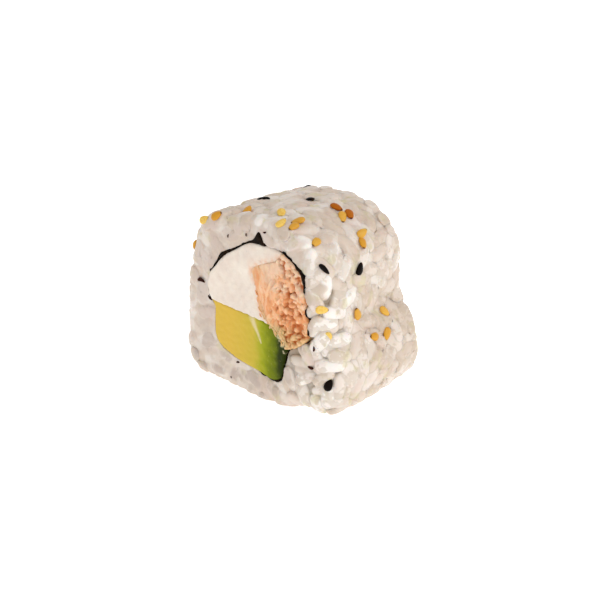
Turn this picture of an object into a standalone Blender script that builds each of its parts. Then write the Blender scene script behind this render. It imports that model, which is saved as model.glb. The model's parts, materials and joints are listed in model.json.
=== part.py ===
"""A piece of inside-out sushi roll, lying on the floor on its rice side with a knife cut at each end.

The roll's axis runs along Y, the shown cut faces -Y, and Z is up. Rice goes round a loop of seaweed,
which holds soft white cheese at the top left, flaked salmon on the right and a slice of avocado below.
"""

import math

import bmesh
import bpy
import numpy as np
from mathutils import Vector
from mathutils.geometry import delaunay_2d_cdt

MM = 0.001

# Driving sizes
LENGTH = 29.2 * MM
GRAIN_LENGTH = 6.2 * MM
GRAIN_WIDTH = 3.1 * MM
GRAIN_THICKNESS = 2.7 * MM
SEED_LENGTH = 3.1 * MM
SEED_WIDTH = 1.9 * MM
SEED_THICKNESS = 1.0 * MM
SHEET_THICKNESS = 0.5 * MM
GAP = 0.3 * MM

# The roll's outline, as (bearing in degrees, radius in mm) about AXIS_HEIGHT at the near and far cuts.
# Bearing 0 points along +X and 90 up. The rice is squarish, as a mat presses it.
# The whole piece is centred on the floor's origin by a small shift, which its uneven rice calls for.
AXIS_X = 0.9 * MM
AXIS_HEIGHT = 22.1 * MM
SHIFT = (0.61 * MM, 0.28 * MM, 0.0)
NEAR_OUTLINE = (
    (0, 20.0), (22.5, 20.7), (45, 22.7), (67.5, 21.9), (90, 20.6), (112.5, 20.6), (135, 23.9),
    (157.5, 22.7), (180, 23.2), (202.5, 26.1), (218, 30.0), (226, 30.1), (240, 26.1), (254, 24.3),
    (270, 24.1), (290, 23.7), (302, 24.4), (315, 28.4), (326, 26.1), (340, 22.7),
)
FAR_OUTLINE = (
    (0, 16.6), (12, 16.5), (22.5, 17.6), (45, 20.3), (67.5, 20.7), (90, 19.7), (112.5, 20.6), (135, 22.2),
    (157.5, 21.2), (180, 21.6), (202.5, 23.3), (225, 26.9), (247.5, 25.0), (270, 24.3), (292.5, 24.6),
    (315, 26.7), (330, 25.4), (345, 21.2),
)
WAIST_BULGE = 0.6 * MM

# The middle of the seaweed's loop, in the same way. It dips in at the avocado's upper right.
SHEET_LOOP = (
    (0, 15.6), (12, 15.2), (28, 16.5), (41, 17.8), (55, 17.6), (70, 16.5), (84, 15.6), (97, 15.2),
    (120, 14.0), (143, 14.6), (155, 14.9), (168, 16.2), (179, 16.8), (190, 15.6), (197, 14.9), (208, 16.3),
    (222, 18.4), (237, 17.2), (255, 16.0), (272, 15.8), (285, 16.9), (296, 16.5), (306, 13.5), (320, 11.8),
    (334, 13.5), (348, 15.4),
)
FAR_SHRINK = 0.12
FLAP_BEARING = 88.0
FLAP_WIDTH = 4.0
FLAP_HEIGHT = 1.9 * MM

# Lines across the loop, as (x, z) in mm, which divide the fillings. All three end where they meet.
CHEESE_OVER_AVOCADO = ((-13.3, 19.6), (-8.5, 19.3), (-1.9, 19.3), (3.8, 19.1), (7.5, 18.5))
CHEESE_BY_SALMON = (
    (8.1, 36.1), (6.2, 34.4), (2.3, 32.8), (-0.4, 31.2), (0.4, 28.4), (1.3, 25.4), (1.9, 22.2), (4.3, 20.3),
    (7.5, 18.5),
)
AVOCADO_BY_SALMON = ((9.8, 14.7), (9.3, 16.5), (7.5, 18.5))
TOP_JOINT = 64.0
LEFT_JOINT = 190.0
RIGHT_JOINT = 319.0

# How far the rice's edge is rounded back from the near cut. On the right whole grains roll over the edge.
RIM_LEAST = 1.0 * MM
RIM_MOST = 5.2 * MM
RIM_BEARING = 350.0
RIM_SPREAD = 62.0
CRISP_POWER = 3.0
SOFT_POWER = 1.7

# The rice grains that show
GRAIN_SPACING = 3.5 * MM
CUT_GRAIN_SPACING = 4.7 * MM
CUT_BAND = 0.6 * MM
GRAIN_SINK = 1.1 * MM
SEED_SHOW = 0.15 * MM
SEED_SLOPE = 0.35
CORE_DEPTH = 1.3 * MM
FACE_DEPTH = 0.5 * MM
FACET_SHARE = 0.61
SLIVER = 0.0005 * MM
HOLE_MARGIN = 1.2 * MM
GRAIN_SIDES, GRAIN_RINGS = 5, 3
SEED_SIDES, SEED_RINGS = 5, 2
SEED_TAPER = 0.3
BLUNTNESS = 0.8
RANDOM_SEED = 22

# The fillings' uneven cut ends: how many soft lumps, between which (x, z) in mm, how wide and how high
CHEESE_RELIEF = (12, (-15, 19), (8, 37), 3.0 * MM, 0.5 * MM)
AVOCADO_RELIEF = (6, (-14, 8), (8, 20), 4.0 * MM, 0.2 * MM)
SALMON_RELIEF = (70, (0, 16), (16, 37), 1.1 * MM, 0.7 * MM)

# The seaweed's uneven ends, as waves round the loop and their heights
SHEET_WAVES = ((5, 0.15 * MM), (11, 0.1 * MM))
LOOP_STEP = 5.0
LOOP_REACH = 17 * MM

# Grains that stand out at the near cut, as (bearing in degrees, distance from the cut in mm, turn in degrees)
SHOWN_GRAINS = (
    (45, 0.8, 55), (27, 2.8, 75), (22, 0.3, 100), (2, 0.3, 60), (4, 1.8, 175), (349, 0.8, 65),
    (337, 2.3, 20), (318, 0.4, 75), (10, 4.9, 165), (320, 2.0, 115), (59, 0.8, 140), (94, 2.9, 45),
    (15, 8.8, 15), (33, 9.0, 50), (45, 7.7, 45), (352, 5.7, 175),
)

# Sesame seeds that show, in the same way
BROWN_SEEDS = ((72, 17.8, 275), (63, 18.4, 240))
GOLDEN_SEEDS = (
    (49, 17.4, 15), (43, 16.1, 235), (15, 1.5, 340), (4, 11.0, 110), (356, 20.3, 300), (347, 14.9, 160),
    (345, 19.3, 235), (53, 4.2, 200), (126, 0.6, 280), (115, 5.8, 20), (71, 5.5, 145), (68, 3.0, 185),
    (158, 1.1, 85),
)
PALE_SEEDS = ((64, 16.6, 235), (354, 2.2, 270), (137, 0.6, 255), (86, 6.0, 225), (75, 2.0, 5))
BLACK_SEEDS = (
    (31, 13.2, 85), (38, 2.7, 295), (327, 2.1, 100), (91, 16.9, 245), (123, 26.4, 160), (121, 13.0, 145),
)
SHOWN_SEEDS = BROWN_SEEDS + GOLDEN_SEEDS + PALE_SEEDS + BLACK_SEEDS

# The seeds of the side that doesn't show, from one bearing to another, and where they lie along it
HIDDEN_SEEDS = 17
HIDDEN_BEARINGS = (138.0, 218.0)
HIDDEN_RUNS = (1.15, 1.92)


def clear_scene():
    for leftover in list(bpy.data.objects):
        bpy.data.objects.remove(leftover)


def material(name, colour, roughness):
    made = bpy.data.materials.new(name)
    made.use_nodes = True
    shader = made.node_tree.nodes["Principled BSDF"]
    shader.inputs["Base Color"].default_value = (*colour, 1.0)
    shader.inputs["Roughness"].default_value = roughness
    shader.inputs["Metallic"].default_value = 0.0
    return made


def new_object(name, vertices, faces):
    mesh = bpy.data.meshes.new(name)
    mesh.from_pydata([tuple(v) for v in vertices], [], [tuple(f) for f in faces])
    made = bpy.data.objects.new(name, mesh)
    bpy.context.scene.collection.objects.link(made)
    return made


def closed_curve(stations):
    """The radius in metres at any bearing in radians, on a smooth loop through (degrees, mm) stations."""
    bearings = np.radians([bearing for bearing, _ in stations])
    radii = np.array([radius for _, radius in stations]) * MM
    before, after = np.roll(bearings, 1), np.roll(bearings, -1)
    span = (after - before) % (2 * math.pi)
    slopes = (np.roll(radii, -1) - np.roll(radii, 1)) / span
    widths = (after - bearings) % (2 * math.pi)

    def radius(bearing):
        turn = (np.asarray(bearing, float) - bearings[0]) % (2 * math.pi) + bearings[0]
        i = np.searchsorted(bearings, turn, side="right") - 1
        j = (i + 1) % len(bearings)
        t = (turn - bearings[i]) / widths[i]
        start = radii[i] * (1 + 2 * t) * (1 - t) ** 2 + slopes[i] * widths[i] * t * (1 - t) ** 2
        return start + radii[j] * t * t * (3 - 2 * t) - slopes[j] * widths[i] * t * t * (1 - t)

    return radius


near_radius = closed_curve(NEAR_OUTLINE)
far_radius = closed_curve(FAR_OUTLINE)
sheet_radius = closed_curve(SHEET_LOOP)


def angle_between(bearing, middle_degrees):
    """The signed angle in degrees from the middle bearing."""
    return (np.degrees(bearing) - middle_degrees + 180) % 360 - 180


def flap(bearing):
    """How far the loose end of the seaweed stands out into the rice."""
    return FLAP_HEIGHT * np.exp(-((angle_between(bearing, FLAP_BEARING) / FLAP_WIDTH) ** 2))


def polar(bearing, radius, y):
    """Points in the roll's own axes, from bearings and radii."""
    x = AXIS_X + radius * np.cos(bearing)
    z = AXIS_HEIGHT + radius * np.sin(bearing)
    return np.stack([x, np.broadcast_to(y, np.shape(x)), z], axis=-1)


def softness(bearing):
    """1 on the right, where the rice's edge rolls over, and 0 where the knife left it crisp."""
    return np.exp(-((angle_between(bearing, RIM_BEARING) / RIM_SPREAD) ** 2))


def rim_depth(bearing):
    """How far back from the near cut the rice's rounded edge reaches."""
    return RIM_LEAST + (RIM_MOST - RIM_LEAST) * softness(bearing)


def rim_power(bearing):
    return CRISP_POWER + (SOFT_POWER - CRISP_POWER) * softness(bearing)


def shrink(y):
    """How much of its near size the loop keeps at this place along the roll."""
    return 1 - FAR_SHRINK * (y / LENGTH + 0.5)


def skin(bearing, run):
    """The rice's outermost surface. run is 0 to 1 over the near cut, from the seaweed to the rim,
    1 to 2 along the outside, and 2 to 3 over the far cut."""
    bearing, run = np.asarray(bearing, float), np.asarray(run, float)
    near_y = -LENGTH / 2 + rim_depth(bearing)
    far_y = LENGTH / 2 - RIM_LEAST
    along = np.clip(run - 1, 0, 1)
    bulge = WAIST_BULGE * 4 * along * (1 - along)
    wall = near_radius(bearing) * (1 - along) + far_radius(bearing) * along + bulge
    share = np.clip(np.sin(np.minimum(np.minimum(run, 3 - run), 1) * math.pi / 2), 0, 1)
    near_drop = 1 - np.sqrt(np.clip(1 - share ** rim_power(bearing), 0, 1))
    far_drop = 1 - np.sqrt(np.clip(1 - share**CRISP_POWER, 0, 1))
    y = near_y + (far_y - near_y) * along
    y = np.where(run < 1, -LENGTH / 2 + rim_depth(bearing) * near_drop, y)
    y = np.where(run > 2, LENGTH / 2 - RIM_LEAST * far_drop, y)
    inner = sheet_radius(bearing) * shrink(y)
    return polar(bearing, inner + (wall - inner) * share, y)


def skin_frame(bearing, run):
    """Points on the skin with their outward normals and two directions along it."""
    step = 1e-3
    point = skin(bearing, run)
    along = skin(bearing, run + step) - skin(bearing, run - step)
    around = skin(bearing + step, run) - skin(bearing - step, run)
    along /= np.linalg.norm(along, axis=-1, keepdims=True) + 1e-12
    normal = np.cross(around, along)
    normal /= np.linalg.norm(normal, axis=-1, keepdims=True) + 1e-12
    return point, -normal, along, np.cross(-normal, along)


def run_at(bearing, distance):
    """The run of the place on the skin that lies this far behind the near cut."""
    rim = rim_depth(bearing)
    along = (distance - rim) / (LENGTH - RIM_LEAST - rim)
    drop = np.clip(distance / rim, 0, 1)
    share = (1 - (1 - drop) ** 2) ** (1 / rim_power(bearing))
    return np.where(distance < rim, np.arcsin(share) * 2 / math.pi, 1 + np.clip(along, 0, 1))


def spread_points(rng):
    """Bearings and runs of the grains, spread evenly over the skin round those that stand out."""
    tries = 16000
    named = np.array(SHOWN_GRAINS, float)
    bearing = np.concatenate([np.radians(named[:, 0]), rng.uniform(0, 2 * math.pi, tries)])
    run = np.concatenate([run_at(np.radians(named[:, 0]), named[:, 1] * MM), rng.uniform(0.15, 2.75, tries)])
    points = skin(bearing, run)
    on_cut = np.abs(points[:, 1]) > LENGTH / 2 - CUT_BAND
    spacing = np.where(on_cut, CUT_GRAIN_SPACING, GRAIN_SPACING)
    kept = list(range(len(named)))
    for i in range(len(named), len(bearing)):
        if np.min(np.sum((points[kept] - points[i]) ** 2, axis=1)) > spacing[i] ** 2:
            kept.append(i)
    return bearing[kept], run[kept]


def turned_grains(point, along, around, rng):
    """The direction of each grain, turned within the skin so that neighbours lie side by side."""
    choices = np.linspace(0, math.pi, 10, endpoint=False)
    turn = rng.uniform(0, math.pi, len(point))
    held = len(SHOWN_GRAINS)
    turn[:held] = np.radians([grain[2] for grain in SHOWN_GRAINS])
    reach = GRAIN_LENGTH * 0.3 * np.array([-1, 0, 1])
    near = [np.flatnonzero(np.linalg.norm(point - p, axis=1) < GRAIN_LENGTH * 1.1) for p in point]
    for _ in range(3):
        for i in held + rng.permutation(len(point) - held):
            others = near[i][near[i] != i]
            cosine, sine = np.cos(turn[others])[:, None], np.sin(turn[others])[:, None]
            lines = cosine * along[others] + sine * around[others]
            beads = (point[others][:, None] + reach[None, :, None] * lines[:, None]).reshape(-1, 3)
            lean = np.cos(choices)[:, None] * along[i] + np.sin(choices)[:, None] * around[i]
            own = point[i] + reach[None, :, None] * lean[:, None]
            gaps = np.linalg.norm(own[:, :, None] - beads[None, None], axis=-1)
            crowding = np.sum(np.clip(GRAIN_WIDTH - gaps, 0, None) ** 2, axis=(1, 2))
            turn[i] = choices[np.argmin(crowding)]
    return np.cos(turn)[:, None] * along + np.sin(turn)[:, None] * around


def axes_of(forward, normal):
    """Three crossed unit directions for each body: its length, its width and its thickness."""
    forward = forward / np.linalg.norm(forward, axis=-1, keepdims=True)
    side = np.cross(normal, forward)
    side /= np.linalg.norm(side, axis=-1, keepdims=True)
    return np.stack([forward, side, np.cross(forward, side)], axis=-2)


def laid_grains(rng):
    """Where each grain lies: its centre, its three directions and its size beside the usual one."""
    bearing, run = spread_points(rng)
    point, normal, along, around = skin_frame(bearing, run)
    centre = point - normal * (GRAIN_SINK + rng.uniform(-0.15, 0.35, len(point))[:, None] * MM)
    forward = turned_grains(point, along, around, rng)
    forward = forward + normal * rng.normal(0, 0.12, len(point))[:, None]
    return centre, axes_of(forward, normal), rng.uniform(0.88, 1.1, len(point))


def lift(grains, point, normal):
    """How far above the skin the outermost grain reaches at a point."""
    centre, axes, size = grains
    half = size[:, None] * np.array([GRAIN_LENGTH, GRAIN_WIDTH, GRAIN_THICKNESS]) / 2
    start = np.einsum("nij,nj->ni", axes, point - centre) / half
    ahead = np.einsum("nij,j->ni", axes, normal) / half
    middle = np.sum(start * ahead, axis=1)
    length = np.sum(ahead**2, axis=1)
    inner = middle**2 - length * (np.sum(start**2, axis=1) - 1)
    reached = np.where(inner > 0, (-middle + np.sqrt(np.clip(inner, 0, None))) / length, -CORE_DEPTH)
    return max(reached.max(), -CORE_DEPTH)


def laid_seeds(rng, grains):
    """Where each sesame seed lies on the grains: its centre and its three directions."""
    bearings, distances, turns = np.array(SHOWN_SEEDS, float).T
    rows = list(zip(np.radians(bearings), run_at(np.radians(bearings), distances * MM), np.radians(turns)))
    low, high = zip(np.radians(HIDDEN_BEARINGS), HIDDEN_RUNS, (0.0, math.pi))
    rows += list(rng.uniform(low, high, (HIDDEN_SEEDS, 3)))
    centres, axes = [], []
    for bearing, run, turn in rows:
        point, normal, along, around = (part[0] for part in skin_frame(np.array([bearing]), np.array([run])))
        forward = math.cos(turn) * along + math.sin(turn) * around
        tips = [lift(grains, point + forward * end * SEED_LENGTH / 3, normal) for end in (-1, 1)]
        height = max(lift(grains, point, normal), sum(tips) / 2)
        slope = max(-SEED_SLOPE, min(SEED_SLOPE, (tips[1] - tips[0]) / (SEED_LENGTH * 2 / 3)))
        centres.append(point + normal * (height + SEED_SHOW))
        axes.append(axes_of(forward + slope * normal, normal))
    return np.array(centres), np.array(axes)


def ellipsoid_parts(length, width, thickness, sides, rings, taper=0.0):
    """Points and faces of a small rounded body along X. A taper narrows its +X end, as on a seed."""
    places = np.linspace(0, math.pi, rings + 2)[1:-1]
    points = [(-length / 2, 0.0, 0.0)]
    for place in places:
        girth = math.sin(place) ** BLUNTNESS * (1 + taper * math.cos(place))
        for turn in np.linspace(0, 2 * math.pi, sides, endpoint=False):
            across, up = width / 2 * math.cos(turn), thickness / 2 * math.sin(turn)
            points.append((-length / 2 * math.cos(place), across * girth, up * girth))
    points.append((length / 2, 0.0, 0.0))
    last = len(points) - 1
    faces = [(0, 1 + (k + 1) % sides, 1 + k) for k in range(sides)]
    for ring in range(rings - 1):
        base = 1 + ring * sides
        for k in range(sides):
            other = (k + 1) % sides
            faces.append((base + k, base + other, base + sides + other, base + sides + k))
    base = 1 + (rings - 1) * sides
    faces += [(base + k, base + (k + 1) % sides, last) for k in range(sides)]
    return np.array(points), faces


def place_body(name, parts, centre, axes, collection):
    """One small body in the collection that a union joins."""
    points, faces = parts
    made = new_object(name, points @ axes + centre, faces)
    bpy.context.scene.collection.objects.unlink(made)
    collection.objects.link(made)


def apply_boolean(target, operation, cutters, solver):
    """Joins or cuts with every object of a collection, then removes those objects."""
    modifier = target.modifiers.new(operation.lower(), "BOOLEAN")
    modifier.operand_type = "COLLECTION"
    modifier.collection = cutters
    modifier.operation = operation
    modifier.solver = solver
    graph = bpy.context.evaluated_depsgraph_get()
    joined = bpy.data.meshes.new_from_object(target.evaluated_get(graph), depsgraph=graph)
    target.modifiers.clear()
    target.data = joined
    for used in list(cutters.objects):
        bpy.data.objects.remove(used)
    bpy.data.collections.remove(cutters)


def thin_out(target, share):
    """Merges the smallest facets, which a union leaves along its seams, until this share of them is left.
    The hole, the two cuts and the floor keep theirs."""
    x, y, z = np.array([vertex.co for vertex in target.data.vertices]).T
    bearings = np.arctan2(z - AXIS_HEIGHT, x - AXIS_X)
    out = np.hypot(z - AXIS_HEIGHT, x - AXIS_X) - sheet_radius(bearings) - flap(bearings)
    cut = 0.01 * MM
    free = (out > HOLE_MARGIN) & (np.abs(y) < LENGTH / 2 - cut) & (z > cut)
    group = target.vertex_groups.new(name="free")
    group.add([int(i) for i in np.flatnonzero(free)], 1.0, "REPLACE")
    modifier = target.modifiers.new("thin_out", "DECIMATE")
    modifier.vertex_group = group.name
    modifier.ratio = share
    graph = bpy.context.evaluated_depsgraph_get()
    thinned = bpy.data.meshes.new_from_object(target.evaluated_get(graph), depsgraph=graph)
    target.modifiers.clear()
    target.data = thinned


def new_collection(name):
    made = bpy.data.collections.new(name)
    bpy.context.scene.collection.children.link(made)
    return made


def mend_seams(work):
    """Takes out the flat slivers and doubled facets that a union leaves where surfaces nearly meet."""
    for _ in range(3):
        work.verts.index_update()
        twins = {}
        for face in work.faces:
            twins.setdefault(frozenset(vertex.index for vertex in face.verts), []).append(face)
        doubled = [face for same in twins.values() if len(same) == 2 for face in same]
        bmesh.ops.delete(work, geom=doubled, context="FACES")
        bmesh.ops.dissolve_degenerate(work, dist=SLIVER, edges=work.edges)
        bmesh.ops.triangulate(work, faces=work.faces)


def keep_outer_shell(target):
    """Drops loose scraps and fills sealed hollows, by keeping the largest connected surface."""
    work = bmesh.new()
    work.from_mesh(target.data)
    bmesh.ops.triangulate(work, faces=work.faces)
    mend_seams(work)
    left = set(work.faces)
    shells = []
    while left:
        shell, edge = set(), [left.pop()]
        while edge:
            face = edge.pop()
            shell.add(face)
            beyond = {other for link in face.edges for other in link.link_faces} & left
            left -= beyond
            edge += beyond
        shells.append(shell)
    shells.sort(key=len)
    unwanted = [face for shell in shells[:-1] for face in shell]
    bmesh.ops.delete(work, geom=unwanted, context="FACES")
    work.to_mesh(target.data)
    work.free()


def rice_core():
    """The rice's packed body, a little inside the skin, with no hole yet."""
    around, front, wall = 48, 3, 5
    near_runs, far_runs = np.linspace(0.05, 0.9, front), np.linspace(2.1, 2.95, front)
    runs = np.concatenate([near_runs, np.linspace(1, 2, wall), far_runs])
    bearings = np.linspace(0, 2 * math.pi, around, endpoint=False)
    vertices = []
    for run in runs:
        point, normal, _, _ = skin_frame(bearings, np.full(around, run))
        side = softness(bearings) if run < 1 else np.full(around, float(run <= 2))
        vertices.append(point - normal * (FACE_DEPTH + (CORE_DEPTH - FACE_DEPTH) * side)[:, None])
    vertices = np.concatenate(vertices)
    faces = []
    for here in range(0, (len(runs) - 1) * around, around):
        for k in range(around):
            other = (k + 1) % around
            faces.append((here + k, here + around + k, here + around + other, here + other))
    near = len(vertices)
    middles = np.array([vertices[:around].mean(axis=0), vertices[-around:].mean(axis=0)])
    vertices = np.concatenate([vertices, middles])
    last = (len(runs) - 1) * around
    faces += [(near, k, (k + 1) % around) for k in range(around)]
    faces += [(near + 1, last + (k + 1) % around, last + k) for k in range(around)]
    return facing_out(new_object("rice", vertices, faces))


def loop_bearings():
    """Stations round the loop, closer together at the flap."""
    even = np.arange(0, 360, LOOP_STEP)
    flap_ones = FLAP_BEARING + FLAP_WIDTH * np.array([-2.0, -1.2, -0.6, 0.0, 0.6, 1.2, 2.0])
    far_off = even[np.min(np.abs(even[:, None] - flap_ones[None]), axis=1) > FLAP_WIDTH / 2]
    return np.radians(np.sort(np.concatenate([far_off, flap_ones])))


def ring_at(outline, y):
    """An (x, z) outline inside the roll carried to a place along it, where the loop is a little smaller."""
    middle = np.array([AXIS_X, AXIS_HEIGHT])
    flat = middle + (outline - middle) * shrink(np.asarray(y))[..., None]
    return np.stack([flat[:, 0], np.broadcast_to(y, len(flat)), flat[:, 1]], axis=1)


def loop_outline(offset):
    """The loop at the near cut, moved out or in from the middle of the seaweed."""
    bearings = loop_bearings()
    radii = sheet_radius(bearings) + offset + (flap(bearings) if offset > 0 else 0)
    return polar(bearings, radii, 0.0)[:, [0, 2]]


def facing_out(target):
    """Turns every face of a closed mesh to face out."""
    work = bmesh.new()
    work.from_mesh(target.data)
    bmesh.ops.recalc_face_normals(work, faces=work.faces)
    work.to_mesh(target.data)
    work.free()
    return target


def loop_prism(name, offset, y_reach):
    """A solid that fills the loop, out to an offset from the middle of the seaweed."""
    outline = loop_outline(offset)
    count = len(outline)
    faces = [(k, (k + 1) % count, count + (k + 1) % count, count + k) for k in range(count)]
    faces += [tuple(range(count))[::-1], tuple(range(count, 2 * count))]
    rings = np.concatenate([ring_at(outline, -y_reach), ring_at(outline, y_reach)])
    return facing_out(new_object(name, rings, faces))


def box(name, low, high):
    """A plain box between two corners."""
    corners = [(x, y, z) for x in (low[0], high[0]) for y in (low[1], high[1]) for z in (low[2], high[2])]
    faces = [(0, 1, 3, 2), (4, 6, 7, 5), (0, 4, 5, 1), (2, 3, 7, 6), (0, 2, 6, 4), (1, 5, 7, 3)]
    return new_object(name, corners, faces)


def rice_bits(collection):
    """The rice grains that show and the sesame seeds that lie on them, as small bodies to join."""
    rng = np.random.default_rng(RANDOM_SEED)
    grains = laid_grains(rng)
    for i, (centre, axes, size) in enumerate(zip(*grains)):
        sizes = (GRAIN_LENGTH * size, GRAIN_WIDTH * size, GRAIN_THICKNESS * size)
        parts = ellipsoid_parts(*sizes, GRAIN_SIDES, GRAIN_RINGS)
        place_body(f"grain_{i}", parts, centre, axes, collection)
    for i, (centre, axes) in enumerate(zip(*laid_seeds(rng, grains))):
        sizes = (SEED_LENGTH, SEED_WIDTH, SEED_THICKNESS)
        parts = ellipsoid_parts(*sizes, SEED_SIDES, SEED_RINGS, SEED_TAPER)
        place_body(f"seed_{i}", parts, centre, axes, collection)


def build_rice():
    """The rice with its grains and seeds fused on, cut flat at both ends and where it rests."""
    rice = rice_core()
    bits = new_collection("rice_bits")
    rice_bits(bits)
    apply_boolean(rice, "UNION", bits, "MANIFOLD")
    cutters = new_collection("rice_cutters")
    reach = 60 * MM
    for cutter in (
        loop_prism("rice_hole", SHEET_THICKNESS / 2 + GAP, LENGTH),
        box("floor_cut", (-reach, -reach, -reach), (reach, reach, 0.0)),
        box("near_cut", (-reach, -reach, -reach / 6), (reach, -LENGTH / 2, reach)),
        box("far_cut", (-reach, LENGTH / 2, -reach / 6), (reach, reach, reach)),
    ):
        bpy.context.scene.collection.objects.unlink(cutter)
        cutters.objects.link(cutter)
    apply_boolean(rice, "DIFFERENCE", cutters, "MANIFOLD")
    keep_outer_shell(rice)
    thin_out(rice, FACET_SHARE)
    return rice


def build_sheet():
    """The seaweed, a thin band with uneven ends that runs the length of the roll."""
    bearings = loop_bearings()
    count = len(bearings)
    outer, inner = loop_outline(SHEET_THICKNESS / 2), loop_outline(-SHEET_THICKNESS / 2)
    end = LENGTH / 2 + sum(height * np.sin(turns * bearings) for turns, height in SHEET_WAVES)
    rings = [ring_at(outer, -end), ring_at(outer, end), ring_at(inner, end), ring_at(inner, -end)]
    faces = []
    for ring in range(4):
        here, there = ring * count, (ring + 1) % 4 * count
        for k in range(count):
            other = (k + 1) % count
            faces.append((here + k, here + other, there + other, there + k))
    return facing_out(new_object("nori", np.concatenate(rings), faces))


def smooth_line(points, step):
    """Evenly spaced points on a smooth line through (x, z) points in mm."""
    knots = np.array(points, float) * MM
    padded = np.vstack([2 * knots[0] - knots[1], knots, 2 * knots[-1] - knots[-2]])
    line = []
    for a, b, c, d in zip(padded, padded[1:], padded[2:], padded[3:]):
        bend, twist = 2 * a - 5 * b + 4 * c - d, 3 * b - a - 3 * c + d
        for t in np.linspace(0, 1, 12, endpoint=False):
            line.append(b + 0.5 * ((c - a) * t + bend * t**2 + twist * t**3))
    line = np.array(line + [knots[-1]])
    runs = np.concatenate([[0], np.cumsum(np.linalg.norm(np.diff(line, axis=0), axis=1))])
    places = np.linspace(0, runs[-1], max(2, round(runs[-1] / step)) + 1)
    return np.stack([np.interp(places, runs, line[:, 0]), np.interp(places, runs, line[:, 1])], axis=1)


def loop_arc(start, end, step):
    """Points just inside the seaweed from one bearing to a larger one, in degrees, as (x, z)."""
    span = math.radians(end - start)
    count = max(2, round(span * LOOP_REACH / step))
    bearings = math.radians(start) + np.linspace(0, span, count + 1)
    radii = sheet_radius(bearings) - SHEET_THICKNESS / 2 - GAP / 2
    return polar(bearings, radii, 0.0)[:, [0, 2]]


def inset(outline, distance):
    """The outline moved inwards, which leaves a gap to its neighbours."""
    following = np.roll(outline, -1, axis=0)
    area = 0.5 * np.sum(outline[:, 0] * following[:, 1] - following[:, 0] * outline[:, 1])
    before = outline - np.roll(outline, 1, axis=0)
    after = following - outline
    before /= np.linalg.norm(before, axis=1, keepdims=True)
    after /= np.linalg.norm(after, axis=1, keepdims=True)
    middle = before + after
    middle /= np.linalg.norm(middle, axis=1, keepdims=True)
    inward = np.stack([-middle[:, 1], middle[:, 0]], axis=1) * np.sign(area)
    sharpness = np.clip(np.sum(before * middle, axis=1), 0.5, 1)
    return outline + inward * (distance / sharpness)[:, None]


def inside(outline, points):
    """Whether each point lies inside the outline."""
    x, z = points[:, 0][:, None], points[:, 1][:, None]
    x0, z0 = outline[:, 0][None], outline[:, 1][None]
    x1, z1 = np.roll(outline[:, 0], -1)[None], np.roll(outline[:, 1], -1)[None]
    crosses = ((z0 > z) != (z1 > z)) & (x < (x1 - x0) * (z - z0) / (z1 - z0 + 1e-15) + x0)
    return crosses.sum(axis=1) % 2 == 1


def block(name, outline, step, near_relief, far_relief):
    """A filling that runs the length of the roll, with relief over its two cut ends."""
    low, high = outline.min(axis=0), outline.max(axis=0)
    rows, columns = np.arange(low[1], high[1], step * 0.87), np.arange(low[0], high[0], step)
    grid = np.array([(x + (i % 2) * step / 2, z) for i, z in enumerate(rows) for x in columns])
    clear = np.min(np.linalg.norm(grid[:, None] - outline[None], axis=2), axis=1) > step * 0.62
    grid = grid[clear & inside(outline, grid)]
    flat = [Vector(p) for p in np.vstack([outline, grid])]
    count = len(outline)
    found = delaunay_2d_cdt(flat, [(k, (k + 1) % count) for k in range(count)], [], 1, 1e-7)
    points = np.array([tuple(v) for v in found[0]])
    triangles = [tuple(t) for t in found[2]]
    total = len(points)
    near = ring_at(points, -LENGTH / 2 - near_relief(points))
    far = ring_at(points, LENGTH / 2 + far_relief(points))
    ends = {}
    for triangle in triangles:
        for a, b in zip(triangle, triangle[1:] + triangle[:1]):
            ends[(a, b)] = ends.get((b, a), 0) + 1
            if (b, a) in ends:
                del ends[(a, b)], ends[(b, a)]
    faces = triangles + [tuple(total + v for v in reversed(t)) for t in triangles]
    faces += [(b, a, total + a, total + b) for a, b in ends]
    return facing_out(new_object(name, np.vstack([near, far]), faces))


def lumps(rng, count, low, high, width, height):
    """A relief of soft lumps at random places, as a function of (x, z) points."""
    centres = rng.uniform(low, high, (count, 2)) * MM
    sizes = width * rng.uniform(0.7, 1.3, count)
    heights = height * rng.uniform(-0.6, 1.0, count)

    def relief(points):
        away = np.linalg.norm(points[:, None] - centres[None], axis=2)
        return np.sum(heights * np.exp(-((away / sizes) ** 2)), axis=1)

    return relief


def build_cheese():
    over = smooth_line(CHEESE_OVER_AVOCADO, 1.6 * MM)
    beside = smooth_line(CHEESE_BY_SALMON, 1.4 * MM)
    outline = np.vstack([loop_arc(TOP_JOINT, LEFT_JOINT, 1.6 * MM), over[1:], beside[::-1][1:-1]])
    rng = np.random.default_rng(RANDOM_SEED + 1)
    near, far = (lumps(rng, *CHEESE_RELIEF) for _ in range(2))
    return block("cream_cheese", inset(outline, GAP / 2), 1.9 * MM, near, far)


def build_avocado():
    over = smooth_line(CHEESE_OVER_AVOCADO, 1.6 * MM)
    beside = smooth_line(AVOCADO_BY_SALMON, 1.4 * MM)
    outline = np.vstack([loop_arc(LEFT_JOINT, RIGHT_JOINT, 1.6 * MM), beside[1:], over[::-1][1:-1]])
    rng = np.random.default_rng(RANDOM_SEED + 2)
    near, far = (lumps(rng, *AVOCADO_RELIEF) for _ in range(2))
    return block("avocado", inset(outline, GAP / 2), 2.4 * MM, near, far)


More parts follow.
